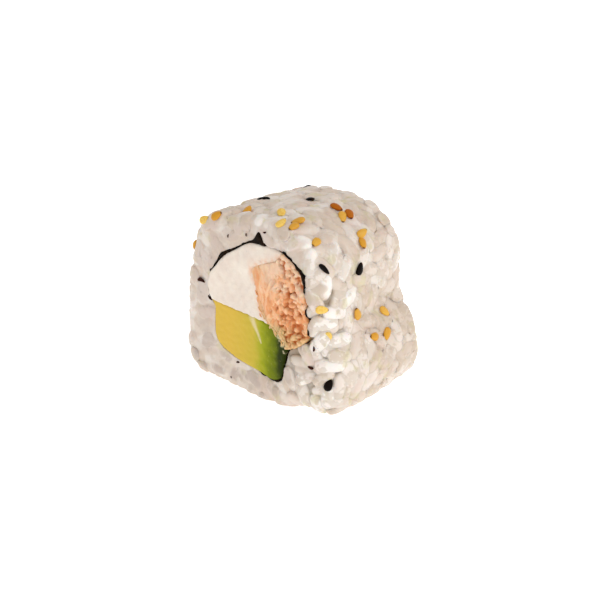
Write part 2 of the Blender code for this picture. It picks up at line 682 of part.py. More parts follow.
def build_salmon():
    over = smooth_line(CHEESE_BY_SALMON, 1.4 * MM)
    beside = smooth_line(AVOCADO_BY_SALMON, 1.4 * MM)
    outline = np.vstack([loop_arc(RIGHT_JOINT, 360 + TOP_JOINT, 1.4 * MM), over[1:], beside[::-1][1:-1]])
    rng = np.random.default_rng(RANDOM_SEED + 3)
    near, far = (lumps(rng, *SALMON_RELIEF) for _ in range(2))
    return block("salmon", inset(outline, GAP / 2), 1.1 * MM, near, far)


def main():
    clear_scene()
    looks = {
        "rice": ((0.78, 0.66, 0.54), 0.45),
        "nori": ((0.02, 0.012, 0.006), 0.5),
        "cream_cheese": ((0.86, 0.74, 0.62), 0.45),
        "salmon": ((0.80, 0.40, 0.20), 0.45),
        "avocado": ((0.62, 0.50, 0.10), 0.35),
    }
    for made in (build_rice(), build_sheet(), build_cheese(), build_salmon(), build_avocado()):
        colour, roughness = looks[made.name]
        made.data.materials.append(material(made.name, colour, roughness))
        made.location = SHIFT


main()
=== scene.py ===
"""The looks of the inside-out roll: grains, sesame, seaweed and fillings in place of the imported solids."""

import json
import math

import bmesh
import bpy
import numpy as np
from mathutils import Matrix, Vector, kdtree
from mathutils.geometry import delaunay_2d_cdt

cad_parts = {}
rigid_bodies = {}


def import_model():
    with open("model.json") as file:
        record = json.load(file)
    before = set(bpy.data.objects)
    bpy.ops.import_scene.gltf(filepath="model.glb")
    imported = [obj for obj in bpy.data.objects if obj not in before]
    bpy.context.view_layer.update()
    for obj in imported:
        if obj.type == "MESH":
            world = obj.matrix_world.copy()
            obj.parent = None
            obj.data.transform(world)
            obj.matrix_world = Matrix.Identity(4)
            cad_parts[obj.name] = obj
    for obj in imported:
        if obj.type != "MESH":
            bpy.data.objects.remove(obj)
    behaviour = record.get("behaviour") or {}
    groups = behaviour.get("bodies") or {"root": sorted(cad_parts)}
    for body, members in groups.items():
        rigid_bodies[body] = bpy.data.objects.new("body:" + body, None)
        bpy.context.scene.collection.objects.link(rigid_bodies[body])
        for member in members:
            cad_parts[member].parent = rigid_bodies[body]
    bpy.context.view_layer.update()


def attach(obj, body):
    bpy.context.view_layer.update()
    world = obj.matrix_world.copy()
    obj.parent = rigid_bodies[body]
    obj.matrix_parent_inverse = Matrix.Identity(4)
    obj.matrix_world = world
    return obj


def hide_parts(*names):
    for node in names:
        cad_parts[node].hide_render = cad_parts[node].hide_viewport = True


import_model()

MM = 0.001

# Driving sizes
LENGTH = 29.2 * MM
GRAIN_LENGTH = 6.2 * MM
GRAIN_WIDTH = 3.1 * MM
GRAIN_THICKNESS = 2.7 * MM
SEED_LENGTH = 3.1 * MM
SEED_WIDTH = 1.9 * MM
SEED_THICKNESS = 1.0 * MM
SHEET_THICKNESS = 0.5 * MM
GAP = 0.3 * MM

# The roll's outline, as (bearing in degrees, radius in mm) about AXIS_HEIGHT at the near and far cuts.
# Bearing 0 points along +X and 90 up. The rice is squarish, as a mat presses it.
# The whole piece is centred on the floor's origin by a small shift, which its uneven rice calls for.
AXIS_X = 0.9 * MM
AXIS_HEIGHT = 22.1 * MM
SHIFT = (0.61 * MM, 0.28 * MM, 0.0)
NEAR_OUTLINE = (
    (0, 20.0), (22.5, 20.7), (45, 22.7), (67.5, 21.9), (90, 20.6), (112.5, 20.6), (135, 23.9),
    (157.5, 22.7), (180, 23.2), (202.5, 26.1), (218, 30.0), (226, 30.1), (240, 26.1), (254, 24.3),
    (270, 24.1), (290, 23.7), (302, 24.4), (315, 28.4), (326, 26.1), (340, 22.7),
)
FAR_OUTLINE = (
    (0, 16.6), (12, 16.5), (22.5, 17.6), (45, 20.3), (67.5, 20.7), (90, 19.7), (112.5, 20.6), (135, 22.2),
    (157.5, 21.2), (180, 21.6), (202.5, 23.3), (225, 26.9), (247.5, 25.0), (270, 24.3), (292.5, 24.6),
    (315, 26.7), (330, 25.4), (345, 21.2),
)
WAIST_BULGE = 0.6 * MM

# The middle of the seaweed's loop, in the same way. It dips in at the avocado's upper right.
SHEET_LOOP = (
    (0, 15.6), (12, 15.2), (28, 16.5), (41, 17.8), (55, 17.6), (70, 16.5), (84, 15.6), (97, 15.2),
    (120, 14.0), (143, 14.6), (155, 14.9), (168, 16.2), (179, 16.8), (190, 15.6), (197, 14.9), (208, 16.3),
    (222, 18.4), (237, 17.2), (255, 16.0), (272, 15.8), (285, 16.9), (296, 16.5), (306, 13.5), (320, 11.8),
    (334, 13.5), (348, 15.4),
)
FAR_SHRINK = 0.12
FLAP_BEARING = 88.0
FLAP_WIDTH = 4.0
FLAP_HEIGHT = 1.9 * MM

# Lines across the loop, as (x, z) in mm, which divide the fillings. All three end where they meet.
CHEESE_OVER_AVOCADO = ((-13.3, 19.6), (-8.5, 19.3), (-1.9, 19.3), (3.8, 19.1), (7.5, 18.5))
CHEESE_BY_SALMON = (
    (8.1, 36.1), (6.2, 34.4), (2.3, 32.8), (-0.4, 31.2), (0.4, 28.4), (1.3, 25.4), (1.9, 22.2), (4.3, 20.3),
    (7.5, 18.5),
)
AVOCADO_BY_SALMON = ((9.8, 14.7), (9.3, 16.5), (7.5, 18.5))
TOP_JOINT = 64.0
LEFT_JOINT = 190.0
RIGHT_JOINT = 319.0

# How far the rice's edge is rounded back from the near cut. On the right whole grains roll over the edge.
RIM_LEAST = 1.0 * MM
RIM_MOST = 5.2 * MM
RIM_BEARING = 350.0
RIM_SPREAD = 62.0
CRISP_POWER = 3.0
SOFT_POWER = 1.7

# The rice grains that show
GRAIN_SPACING = 3.5 * MM
CUT_GRAIN_SPACING = 4.7 * MM
CUT_BAND = 0.6 * MM
GRAIN_SINK = 1.1 * MM
SEED_SHOW = 0.15 * MM
SEED_SLOPE = 0.35
CORE_DEPTH = 1.3 * MM
CORE_FACE_DEPTH = 0.3 * MM
SEED_TAPER = 0.3
RANDOM_SEED = 22

# The fillings' uneven cut ends: how many soft lumps, between which (x, z) in mm, how wide and how high
CHEESE_RELIEF = (12, (-15, 19), (8, 37), 3.0 * MM, 0.5 * MM)
AVOCADO_RELIEF = (6, (-14, 8), (8, 20), 4.0 * MM, 0.2 * MM)
SALMON_RELIEF = (70, (0, 16), (16, 37), 1.1 * MM, 0.7 * MM)

# The loop's usual radius, which sets how many points an arc of it has
LOOP_REACH = 17 * MM

# Grains that stand out at the near cut, as (bearing in degrees, distance from the cut in mm, turn in degrees)
SHOWN_GRAINS = (
    (45, 0.8, 55), (27, 2.8, 75), (22, 0.3, 100), (2, 0.3, 60), (4, 1.8, 175), (349, 0.8, 65),
    (337, 2.3, 20), (318, 0.4, 75), (10, 4.9, 165), (320, 2.0, 115), (59, 0.8, 140), (94, 2.9, 45),
    (15, 8.8, 15), (33, 9.0, 50), (45, 7.7, 45), (352, 5.7, 175),
)

# Sesame seeds that show, in the same way
BROWN_SEEDS = ((72, 17.8, 275), (63, 18.4, 240))
GOLDEN_SEEDS = (
    (49, 17.4, 15), (43, 16.1, 235), (15, 1.5, 340), (4, 11.0, 110), (356, 20.3, 300), (347, 14.9, 160),
    (345, 19.3, 235), (53, 4.2, 200), (126, 0.6, 280), (115, 5.8, 20), (71, 5.5, 145), (68, 3.0, 185),
    (158, 1.1, 85),
)
PALE_SEEDS = ((64, 16.6, 235), (354, 2.2, 270), (137, 0.6, 255), (86, 6.0, 225), (75, 2.0, 5))
BLACK_SEEDS = (
    (31, 13.2, 85), (38, 2.7, 295), (327, 2.1, 100), (91, 16.9, 245), (123, 26.4, 160), (121, 13.0, 145),
)
SHOWN_SEEDS = BROWN_SEEDS + GOLDEN_SEEDS + PALE_SEEDS + BLACK_SEEDS

# The seeds of the side that doesn't show, from one bearing to another, and where they lie along it
HIDDEN_SEEDS = 17
HIDDEN_BEARINGS = (138.0, 218.0)
HIDDEN_RUNS = (1.15, 1.92)


def closed_curve(stations):
    """The radius in metres at any bearing in radians, on a smooth loop through (degrees, mm) stations."""
    bearings = np.radians([bearing for bearing, _ in stations])
    radii = np.array([radius for _, radius in stations]) * MM
    before, after = np.roll(bearings, 1), np.roll(bearings, -1)
    span = (after - before) % (2 * math.pi)
    slopes = (np.roll(radii, -1) - np.roll(radii, 1)) / span
    widths = (after - bearings) % (2 * math.pi)

    def radius(bearing):
        turn = (np.asarray(bearing, float) - bearings[0]) % (2 * math.pi) + bearings[0]
        i = np.searchsorted(bearings, turn, side="right") - 1
        j = (i + 1) % len(bearings)
        t = (turn - bearings[i]) / widths[i]
        start = radii[i] * (1 + 2 * t) * (1 - t) ** 2 + slopes[i] * widths[i] * t * (1 - t) ** 2
        return start + radii[j] * t * t * (3 - 2 * t) - slopes[j] * widths[i] * t * t * (1 - t)

    return radius


near_radius = closed_curve(NEAR_OUTLINE)
far_radius = closed_curve(FAR_OUTLINE)
sheet_radius = closed_curve(SHEET_LOOP)


def angle_between(bearing, middle_degrees):
    """The signed angle in degrees from the middle bearing."""
    return (np.degrees(bearing) - middle_degrees + 180) % 360 - 180


def flap(bearing):
    """How far the loose end of the seaweed stands out into the rice."""
    return FLAP_HEIGHT * np.exp(-((angle_between(bearing, FLAP_BEARING) / FLAP_WIDTH) ** 2))


def polar(bearing, radius, y):
    """Points in the roll's own axes, from bearings and radii."""
    x = AXIS_X + radius * np.cos(bearing)
    z = AXIS_HEIGHT + radius * np.sin(bearing)
    return np.stack([x, np.broadcast_to(y, np.shape(x)), z], axis=-1)


def softness(bearing):
    """1 on the right, where the rice's edge rolls over, and 0 where the knife left it crisp."""
    return np.exp(-((angle_between(bearing, RIM_BEARING) / RIM_SPREAD) ** 2))


def rim_depth(bearing):
    """How far back from the near cut the rice's rounded edge reaches."""
    return RIM_LEAST + (RIM_MOST - RIM_LEAST) * softness(bearing)


def rim_power(bearing):
    return CRISP_POWER + (SOFT_POWER - CRISP_POWER) * softness(bearing)


def shrink(y):
    """How much of its near size the loop keeps at this place along the roll."""
    return 1 - FAR_SHRINK * (y / LENGTH + 0.5)


def skin(bearing, run):
    """The rice's outermost surface. run is 0 to 1 over the near cut, from the seaweed to the rim,
    1 to 2 along the outside, and 2 to 3 over the far cut."""
    bearing, run = np.asarray(bearing, float), np.asarray(run, float)
    near_y = -LENGTH / 2 + rim_depth(bearing)
    far_y = LENGTH / 2 - RIM_LEAST
    along = np.clip(run - 1, 0, 1)
    bulge = WAIST_BULGE * 4 * along * (1 - along)
    wall = near_radius(bearing) * (1 - along) + far_radius(bearing) * along + bulge
    share = np.clip(np.sin(np.minimum(np.minimum(run, 3 - run), 1) * math.pi / 2), 0, 1)
    near_drop = 1 - np.sqrt(np.clip(1 - share ** rim_power(bearing), 0, 1))
    far_drop = 1 - np.sqrt(np.clip(1 - share**CRISP_POWER, 0, 1))
    y = near_y + (far_y - near_y) * along
    y = np.where(run < 1, -LENGTH / 2 + rim_depth(bearing) * near_drop, y)
    y = np.where(run > 2, LENGTH / 2 - RIM_LEAST * far_drop, y)
    inner = sheet_radius(bearing) * shrink(y)
    return polar(bearing, inner + (wall - inner) * share, y)


def skin_frame(bearing, run):
    """Points on the skin with their outward normals and two directions along it."""
    step = 1e-3
    point = skin(bearing, run)
    along = skin(bearing, run + step) - skin(bearing, run - step)
    around = skin(bearing + step, run) - skin(bearing - step, run)
    along /= np.linalg.norm(along, axis=-1, keepdims=True) + 1e-12
    normal = np.cross(around, along)
    normal /= np.linalg.norm(normal, axis=-1, keepdims=True) + 1e-12
    return point, -normal, along, np.cross(-normal, along)


def run_at(bearing, distance):
    """The run of the place on the skin that lies this far behind the near cut."""
    rim = rim_depth(bearing)
    along = (distance - rim) / (LENGTH - RIM_LEAST - rim)
    drop = np.clip(distance / rim, 0, 1)
    share = (1 - (1 - drop) ** 2) ** (1 / rim_power(bearing))
    return np.where(distance < rim, np.arcsin(share) * 2 / math.pi, 1 + np.clip(along, 0, 1))


def spread_points(rng):
    """Bearings and runs of the grains, spread evenly over the skin round those that stand out."""
    tries = 16000
    named = np.array(SHOWN_GRAINS, float)
    bearing = np.concatenate([np.radians(named[:, 0]), rng.uniform(0, 2 * math.pi, tries)])
    run = np.concatenate([run_at(np.radians(named[:, 0]), named[:, 1] * MM), rng.uniform(0.15, 2.75, tries)])
    points = skin(bearing, run)
    on_cut = np.abs(points[:, 1]) > LENGTH / 2 - CUT_BAND
    spacing = np.where(on_cut, CUT_GRAIN_SPACING, GRAIN_SPACING)
    kept = list(range(len(named)))
    for i in range(len(named), len(bearing)):
        if np.min(np.sum((points[kept] - points[i]) ** 2, axis=1)) > spacing[i] ** 2:
            kept.append(i)
    return bearing[kept], run[kept]


def crowding(own, beads):
    """How much each choice of beads crowds the beads that are there."""
    gaps = np.linalg.norm(own[:, :, None] - beads[None, None], axis=-1)
    return np.sum(np.clip(GRAIN_WIDTH - gaps, 0, None) ** 2, axis=(1, 2))


def turned_grains(point, along, around, rng):
    """The direction of each grain, turned within the skin so that neighbours lie side by side."""
    choices = np.linspace(0, math.pi, 10, endpoint=False)
    turn = rng.uniform(0, math.pi, len(point))
    held = len(SHOWN_GRAINS)
    turn[:held] = np.radians([grain[2] for grain in SHOWN_GRAINS])
    reach = GRAIN_LENGTH * 0.3 * np.array([-1, 0, 1])
    near = [np.flatnonzero(np.linalg.norm(point - p, axis=1) < GRAIN_LENGTH * 1.1) for p in point]
    for _ in range(3):
        for i in held + rng.permutation(len(point) - held):
            others = near[i][near[i] != i]
            cosine, sine = np.cos(turn[others])[:, None], np.sin(turn[others])[:, None]
            lines = cosine * along[others] + sine * around[others]
            beads = (point[others][:, None] + reach[None, :, None] * lines[:, None]).reshape(-1, 3)
            lean = np.cos(choices)[:, None] * along[i] + np.sin(choices)[:, None] * around[i]
            own = point[i] + reach[None, :, None] * lean[:, None]
            turn[i] = choices[np.argmin(crowding(own, beads))]
    return np.cos(turn)[:, None] * along + np.sin(turn)[:, None] * around


def axes_of(forward, normal):
    """Three crossed unit directions for each body: its length, its width and its thickness."""
    forward = forward / np.linalg.norm(forward, axis=-1, keepdims=True)
    side = np.cross(normal, forward)
    side /= np.linalg.norm(side, axis=-1, keepdims=True)
    return np.stack([forward, side, np.cross(forward, side)], axis=-2)


def laid_grains(rng):
    """Where each grain lies: its centre, its three directions and its size beside the usual one."""
    bearing, run = spread_points(rng)
    point, normal, along, around = skin_frame(bearing, run)
    centre = point - normal * (GRAIN_SINK + rng.uniform(-0.15, 0.35, len(point))[:, None] * MM)
    forward = turned_grains(point, along, around, rng)
    forward = forward + normal * rng.normal(0, 0.12, len(point))[:, None]
    return centre, axes_of(forward, normal), rng.uniform(0.88, 1.1, len(point))


def lift(grains, point, normal):
    """How far above the skin the outermost grain reaches at a point."""
    centre, axes, size = grains
    half = size[:, None] * GRAIN_HALF
    start = np.einsum("nij,nj->ni", axes, point - centre) / half
    ahead = np.einsum("nij,j->ni", axes, normal) / half
    middle = np.sum(start * ahead, axis=1)
    length = np.sum(ahead**2, axis=1)
    inner = middle**2 - length * (np.sum(start**2, axis=1) - 1)
    reached = np.where(inner > 0, (-middle + np.sqrt(np.clip(inner, 0, None))) / length, -CORE_DEPTH)
    return max(reached.max(), -CORE_DEPTH)


def laid_seeds(rng, grains):
    """Where each sesame seed lies on the grains: its centre and its three directions."""
    bearings, distances, turns = np.array(SHOWN_SEEDS, float).T
    rows = list(zip(np.radians(bearings), run_at(np.radians(bearings), distances * MM), np.radians(turns)))
    low, high = zip(np.radians(HIDDEN_BEARINGS), HIDDEN_RUNS, (0.0, math.pi))
    rows += list(rng.uniform(low, high, (HIDDEN_SEEDS, 3)))
    centres, axes = [], []
    for bearing, run, turn in rows:
        point, normal, along, around = (part[0] for part in skin_frame(np.array([bearing]), np.array([run])))
        forward = math.cos(turn) * along + math.sin(turn) * around
        tips = [lift(grains, point + forward * end * SEED_LENGTH / 3, normal) for end in (-1, 1)]
        height = max(lift(grains, point, normal), sum(tips) / 2)
        slope = max(-SEED_SLOPE, min(SEED_SLOPE, (tips[1] - tips[0]) / (SEED_LENGTH * 2 / 3)))
        centres.append(point + normal * (height + SEED_SHOW))
        axes.append(axes_of(forward + slope * normal, normal))
    return np.array(centres), np.array(axes)


def ring_at(outline, y):
    """An (x, z) outline inside the roll carried to a place along it, where the loop is a little smaller."""
    middle = np.array([AXIS_X, AXIS_HEIGHT])
    flat = middle + (outline - middle) * shrink(np.asarray(y))[..., None]
    return np.stack([flat[:, 0], np.broadcast_to(y, len(flat)), flat[:, 1]], axis=1)


def spaced(line, step, closed=False):
    """Points this far apart along a line, or round a closed one, which ends where it starts."""
    runs = np.concatenate([[0], np.cumsum(np.linalg.norm(np.diff(line, axis=0), axis=1))])
    count = round(runs[-1] / step)
    places = np.linspace(0, runs[-1], count if closed else max(2, count) + 1, endpoint=not closed)
    return np.stack([np.interp(places, runs, line[:, 0]), np.interp(places, runs, line[:, 1])], axis=1)


def smooth_line(points, step):
    """Evenly spaced points on a smooth line through (x, z) points in mm."""
    knots = np.array(points, float) * MM
    padded = np.vstack([2 * knots[0] - knots[1], knots, 2 * knots[-1] - knots[-2]])
    line = []
    for a, b, c, d in zip(padded, padded[1:], padded[2:], padded[3:]):
        bend, twist = 2 * a - 5 * b + 4 * c - d, 3 * b - a - 3 * c + d
        for t in np.linspace(0, 1, 12, endpoint=False):
            line.append(b + 0.5 * ((c - a) * t + bend * t**2 + twist * t**3))
    return spaced(np.array(line + [knots[-1]]), step)


def loop_arc(start, end, step):
    """Points just inside the seaweed from one bearing to a larger one, in degrees, as (x, z)."""
    span = math.radians(end - start)
    count = max(2, round(span * LOOP_REACH / step))
    bearings = math.radians(start) + np.linspace(0, span, count + 1)
    radii = sheet_radius(bearings) - SHEET_THICKNESS / 2 - GAP / 2
    return polar(bearings, radii, 0.0)[:, [0, 2]]


def inset(outline, distance):
    """The outline moved inwards, which leaves a gap to its neighbours."""
    following = np.roll(outline, -1, axis=0)
    area = 0.5 * np.sum(outline[:, 0] * following[:, 1] - following[:, 0] * outline[:, 1])
    before = outline - np.roll(outline, 1, axis=0)
    after = following - outline
    before /= np.linalg.norm(before, axis=1, keepdims=True)
    after /= np.linalg.norm(after, axis=1, keepdims=True)
    middle = before + after
    middle /= np.linalg.norm(middle, axis=1, keepdims=True)
    inward = np.stack([-middle[:, 1], middle[:, 0]], axis=1) * np.sign(area)
    sharpness = np.clip(np.sum(before * middle, axis=1), 0.5, 1)
    return outline + inward * (distance / sharpness)[:, None]


def inside(outline, points):
    """Whether each point lies inside the outline."""
    x, z = points[:, 0][:, None], points[:, 1][:, None]
    x0, z0 = outline[:, 0][None], outline[:, 1][None]
    x1, z1 = np.roll(outline[:, 0], -1)[None], np.roll(outline[:, 1], -1)[None]
    crosses = ((z0 > z) != (z1 > z)) & (x < (x1 - x0) * (z - z0) / (z1 - z0 + 1e-15) + x0)
    return crosses.sum(axis=1) % 2 == 1


def lumps(rng, count, low, high, width, height):
    """A relief of soft lumps at random places, as a function of (x, z) points."""
    centres = rng.uniform(low, high, (count, 2)) * MM
    sizes = width * rng.uniform(0.7, 1.3, count)
    heights = height * rng.uniform(-0.6, 1.0, count)

    def relief(points):
        away = np.linalg.norm(points[:, None] - centres[None], axis=2)
        return np.sum(heights * np.exp(-((away / sizes) ** 2)), axis=1)

    return relief


# Grains under those of the solid, which close its gaps: how many places are tried, what share is left out at
# the near rim, how deep they lie and how clear of other grains
FILLER_TRIES, FILLER_SKIP = 9000, 0.55
FILLER_SINK = 1.5 * MM
FILLER_CLEARANCE = 1.45 * MM

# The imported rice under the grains: its sides, and the runs of its rings, as first, last and count
CORE_SIDES = 120
CORE_RUNS = ((0.02, 0.95, 7), (1, 2, 13), (2.05, 2.98, 7))

# The skin over the grains: the cell of its first mesh, how blunt a grain is, how many beads and grains each
# place looks to, how far grains melt together at the near rim and elsewhere, and how far they draw the skin
VOXEL = 0.335 * MM
GRAIN_BLUNTNESS = 2.6
NEAR_BEADS, NEAR_GRAINS = 14, 6
CRISP_MELT, SOFT_MELT = 0.1 * MM, 0.3 * MM
PULL_REACH, PULL_MOST = 0.5 * MM, 0.3 * MM
TONE_BLEND = 0.12 * MM
# How wide the painted shade along the seams between grains is
SEAM_SHADE_WIDTH = 0.22 * MM
CUT_FADE = 0.3 * MM

# How high the grains may stand, and how deep in mm the gaps may go: usually, how much more at the near rim,
# and how much less at a cut. PRESS_BEND rounds the change, and PRESS_GRID is how finely the skin is sampled.
PRESS_GRID = (240, 150)
PRESS_CEILING = 0.27 * MM
PRESS_FLOOR, RIM_FLOOR, CUT_FLOOR = 0.75, 0.9, 0.4
PRESS_BEND = 0.22 * MM

# The body that opens the rice for the seaweed, as its sides and its rings, where 1 and -1 are the cuts, and
# the boxes that cut the rice's ends and foot. The rice's inner edge is measured in slots all round it.
HOLE_SIDES = 360
HOLE_STATIONS = np.array([-1.02, -1.0, -0.985, -0.965, -0.93, -0.5, 0.0, 0.5, 0.93, 0.965, 0.985, 1.0, 1.02])
CUTTER_REACH = 60 * MM
BOX_SIDES = ((0, 1, 3, 2), (4, 6, 7, 5), (0, 4, 5, 1), (2, 3, 7, 6), (0, 2, 6, 4), (1, 5, 7, 3))
WALL_TOLERANCE = 0.02 * MM
EDGE_SLOTS = 180

# How the seeds settle on the rice: the share in % of the rice near a seed that lies under it, and how far it
# is raised. Single seeds are set on edge, by place in BLACK_SEEDS, or made paler, duller or deeper, by place
# in SHOWN_SEEDS.
SEED_GROUND = 75
SEED_RISE = 0.22 * MM
SEED_LOWEST = 1.3 * MM
SEED_ON_EDGE = 1
YELLOW_SEED, DULL_SEED = 4, 15
SEED_SUNK = {15: 0.25 * MM, 16: 0.8 * MM, 17: 0.2 * MM, 24: 0.7 * MM, 25: 0.25 * MM}

# Sides and rings of the small bodies, and a seed's fullness and taper
GRAIN_SHAPE, SEED_SHAPE = (14, 9), (14, 11, 0.52, SEED_TAPER)
FLECK_SHAPE, FLAKE_SHAPE = (10, 6), (8, 5)

# Dark scraps pressed into the near cut, partly seaweed and partly painted shade of crevices between grains,
# as (x, z, turn in degrees, half length), lengths in mm
FLECKS = (
    (-17.6, 23.1, 5, 1.25), (-14.9, 19.5, 150, 0.8), (-8.3, 36.5, 80, 0.45), (-2.5, 38.4, 95, 0.4),
    (-6.0, 6.4, 20, 0.6), (-8.2, 1.9, 100, 0.3), (15.9, 21.0, 130, 0.9), (17.7, 17.6, 85, 0.7),
    (16.5, 12.6, 5, 0.9), (3.3, 40.6, 20, 0.5), (15.5, 25.6, 80, 0.7),
)
FLECK_REACH, FLECK_DEPTH = 0.6 * MM, 0.14 * MM

# How wide the dark band of seaweed shows at a cut, with the shade in its gap to the rice, as (bearing in
# degrees, mm). Where it is 0 rice or cheese covers it.
SHEET_AND_SHADE_SHOWS = (
    (0, 0.1), (6, 0.1), (13, 0.35), (20, 0.05), (30, 0.3), (34, 0.9), (40, 1.15), (46, 0.8), (52, 0.45),
    (60, 0.4), (66, 0.25), (72, 0.0), (79, 0.0), (83, 0.5), (88, 1.0), (93, 0.8), (100, 0.45), (112, 0.4),
    (124, 0.5), (134, 0.75), (144, 0.9), (154, 0.6), (163, 0.35), (171, 0.0), (183, 0.0), (188, 0.5),
    (193, 0.0), (218, 0.0), (226, 0.15), (236, 0.2), (248, 0.1), (262, 0.05), (274, 0.3), (286, 0.55),
    (296, 0.45), (306, 0.3), (318, 0.25), (332, 0.0), (344, 0.1), (351, 0.5), (357, 0.6),
)
SHEET_SIDES, SHEET_ROWS = 600, 41
# How far it is drawn back where it is covered, and how uneven its sides and its ragged edges are
SHEET_BACK, SHEET_BACK_FADE = 0.6 * MM, 0.3 * MM
SHEET_UNEVEN, SHEET_RAGGED = 0.07 * MM, 0.1 * MM
LIP, LIP_FADE = 0.5 * MM, 0.9 * MM

# The fillings: how far they close the gap to each other, the crumbs of cheese on the avocado, and a wisp of
# it that the knife drew down, as (x, z) in mm at the near cut
FILLING_SPREAD = 0.14 * MM
LINE_STEP, OUTLINE_STEP = 0.8 * MM, 0.45 * MM
# How fine a filling's cut end is, and how far in from its edge it is rounded
CHEESE_END, AVOCADO_END, SALMON_END = (0.42 * MM, 0.45 * MM), (0.28 * MM, 0.45 * MM), (0.2 * MM, 0.25 * MM)
CHEESE_CRUMBS = 16
CHEESE_WISP = ((-1.1, 19.6), (-0.5, 18.3), (0.4, 16.9), (1.3, 15.4), (1.9, 14.0))

# The salmon's flakes: how many, the turn of the long fibres in degrees, their highest and lowest place, and
# the deep gaps between them, as x, height, half width, half height and depth in mm
FLAKE_COUNT, LOOSE_FLAKES = 900, 90
FIBRE_TURN, FIBRE_SPREAD = 99, 7
FLAKE_CEILING, FLAKE_EASE = 0.5 * MM, 0.2 * MM
FLAKE_FLOOR = -0.9 * MM
# Half length, half width, height and depth, each as a fibre's and a crumb's least and most in mm
FLAKE_RANGES = (
    ((2.0, 4.2), (0.35, 1.0)), ((0.35, 0.7), (0.3, 0.7)),
    ((0.2, 0.4), (0.5, 1.0)), ((-0.35, 0.1), (-1.7, 0.15)),
)
LOOSE_RANGES = ((0.3, 1.1), (0.16, 0.34), (0.14, 0.26))
SALMON_GAPS = (
    (10.5, 28.3, 0.5, 1.3, 1.1), (14.1, 25.1, 0.6, 0.5, 1.6), (5.2, 22.9, 0.5, 0.6, 0.9),
    (11.6, 20.6, 0.3, 0.9, 0.9), (10.6, 18.1, 0.4, 0.5, 1.0), (14.6, 20.0, 0.5, 0.5, 0.8),
    (12.4, 30.6, 0.5, 0.4, 0.6),
)

# The light and the photograph's view
ROOM_COLOUR, ROOM_LIGHT = (1.0, 0.985, 0.97, 1.0), 0.72
FLOOR_REACH, FLOOR_GLOW = 3.0, 0.75
WINDOW_PLACE, WINDOW_SIZE, WINDOW_WATTS = (0.55, 0.05, 0.55), 0.5, 1.8
VIEW_AZIMUTH, VIEW_ELEVATION, VIEW_DISTANCE, VIEW_LENS = 45, 24, 0.3948, 105.0
VIEW_HEIGHT, VIEW_ASIDE, VIEW_LOWER = 20.68 * MM, 0.384 * MM, 1.421 * MM

OVAL_POWER = 2.3
WAVE_COUNT = 28
GRAIN_HALF = np.array([GRAIN_LENGTH, GRAIN_WIDTH, GRAIN_THICKNESS]) / 2
BEAD_STEPS = np.array([-0.8, -0.4, 0.0, 0.4, 0.8])
sheet_and_shade_shows = closed_curve(SHEET_AND_SHADE_SHOWS)


def bearing_of(points):
    return np.arctan2(points[:, 2] - AXIS_HEIGHT, points[:, 0] - AXIS_X)


def full_turn(count):
    return np.linspace(0, 2 * math.pi, count, endpoint=False)


def rim_share(bearing, y, whole, fade):
    """1 where whole grains stand out at the near rim, falling to 0 behind it and on the crisp side."""
    return softness(bearing) * np.clip(whole - (y + LENGTH / 2) / fade, 0, 1)


def tree_of(points):
    tree = kdtree.KDTree(len(points))
    for i, point in enumerate(points):
        tree.insert(point, i)
    tree.balance()
    return tree


def placed(name, data):
    """An object in the scene that shows the data."""
    made = bpy.data.objects.new(name, data)
    bpy.context.scene.collection.objects.link(made)
    return made


def plain_mesh(name, points, faces):
    mesh = bpy.data.meshes.new(name)
    mesh.from_pydata(points, [], faces)
    return mesh


def ring_faces(around, rings, start=0, closed=False):
    """Four-sided faces between rings of points that follow each other."""
    faces = []
    for ring in range(rings if closed else rings - 1):
        here, there = start + ring * around, start + (ring + 1) % rings * around
        for k in range(around):
            other = (k + 1) % around
            faces.append((here + k, here + other, there + other, there + k))
    return faces


def waves(rng, scale):
    """A smooth random field over points, mostly within -1 to 1, with bumps about this far apart."""
    count = WAVE_COUNT
    turns = rng.normal(size=(count, 3))
    lengths = np.linalg.norm(turns, axis=1, keepdims=True)
    turns *= 2 * math.pi / scale * rng.uniform(0.6, 1.5, (count, 1)) / lengths
    starts = rng.uniform(0, 2 * math.pi, count)
    return lambda points: np.sin(points @ turns.T + starts).sum(axis=1) / math.sqrt(count / 2) / 1.6


def add_piece(name, node, points, faces, look, marks=None):
    """A smooth-shaded mesh in the part's frame, with point attributes that its material reads.
    It stands for the node."""
    mesh = plain_mesh(name, points + np.array(SHIFT), [tuple(int(v) for v in face) for face in faces])
    mesh.polygons.foreach_set("use_smooth", [True] * len(mesh.polygons))
    for label, values in (marks or {}).items():
        mesh.attributes.new(label, "FLOAT", "POINT").data.foreach_set("value", np.asarray(values, np.float32))
    mesh.materials.append(look)
    piece = placed(name, mesh)
    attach(piece, "root")
    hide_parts(node)


def oval(sides, rings, fullness=0.5, taper=0.0):
    """Points of a unit rounded body along X with its faces. A taper narrows the +X end."""
    points = [(-1.0, 0.0, 0.0)]
    for place in np.linspace(0, math.pi, rings + 2)[1:-1]:
        u = -math.cos(place)
        girth = (1 - abs(u) ** OVAL_POWER) ** fullness * (1 - taper * u)
        turns = np.linspace(0, 2 * math.pi, sides + 1)[:-1]
        points += [(u, girth * math.cos(t), girth * math.sin(t)) for t in turns]
    points.append((1.0, 0.0, 0.0))
    faces = [(0, 1 + (k + 1) % sides, 1 + k) for k in range(sides)] + ring_faces(sides, rings, 1)
    base = 1 + (rings - 1) * sides
    faces += [(base + k, base + (k + 1) % sides, len(points) - 1) for k in range(sides)]
    return np.array(points), faces


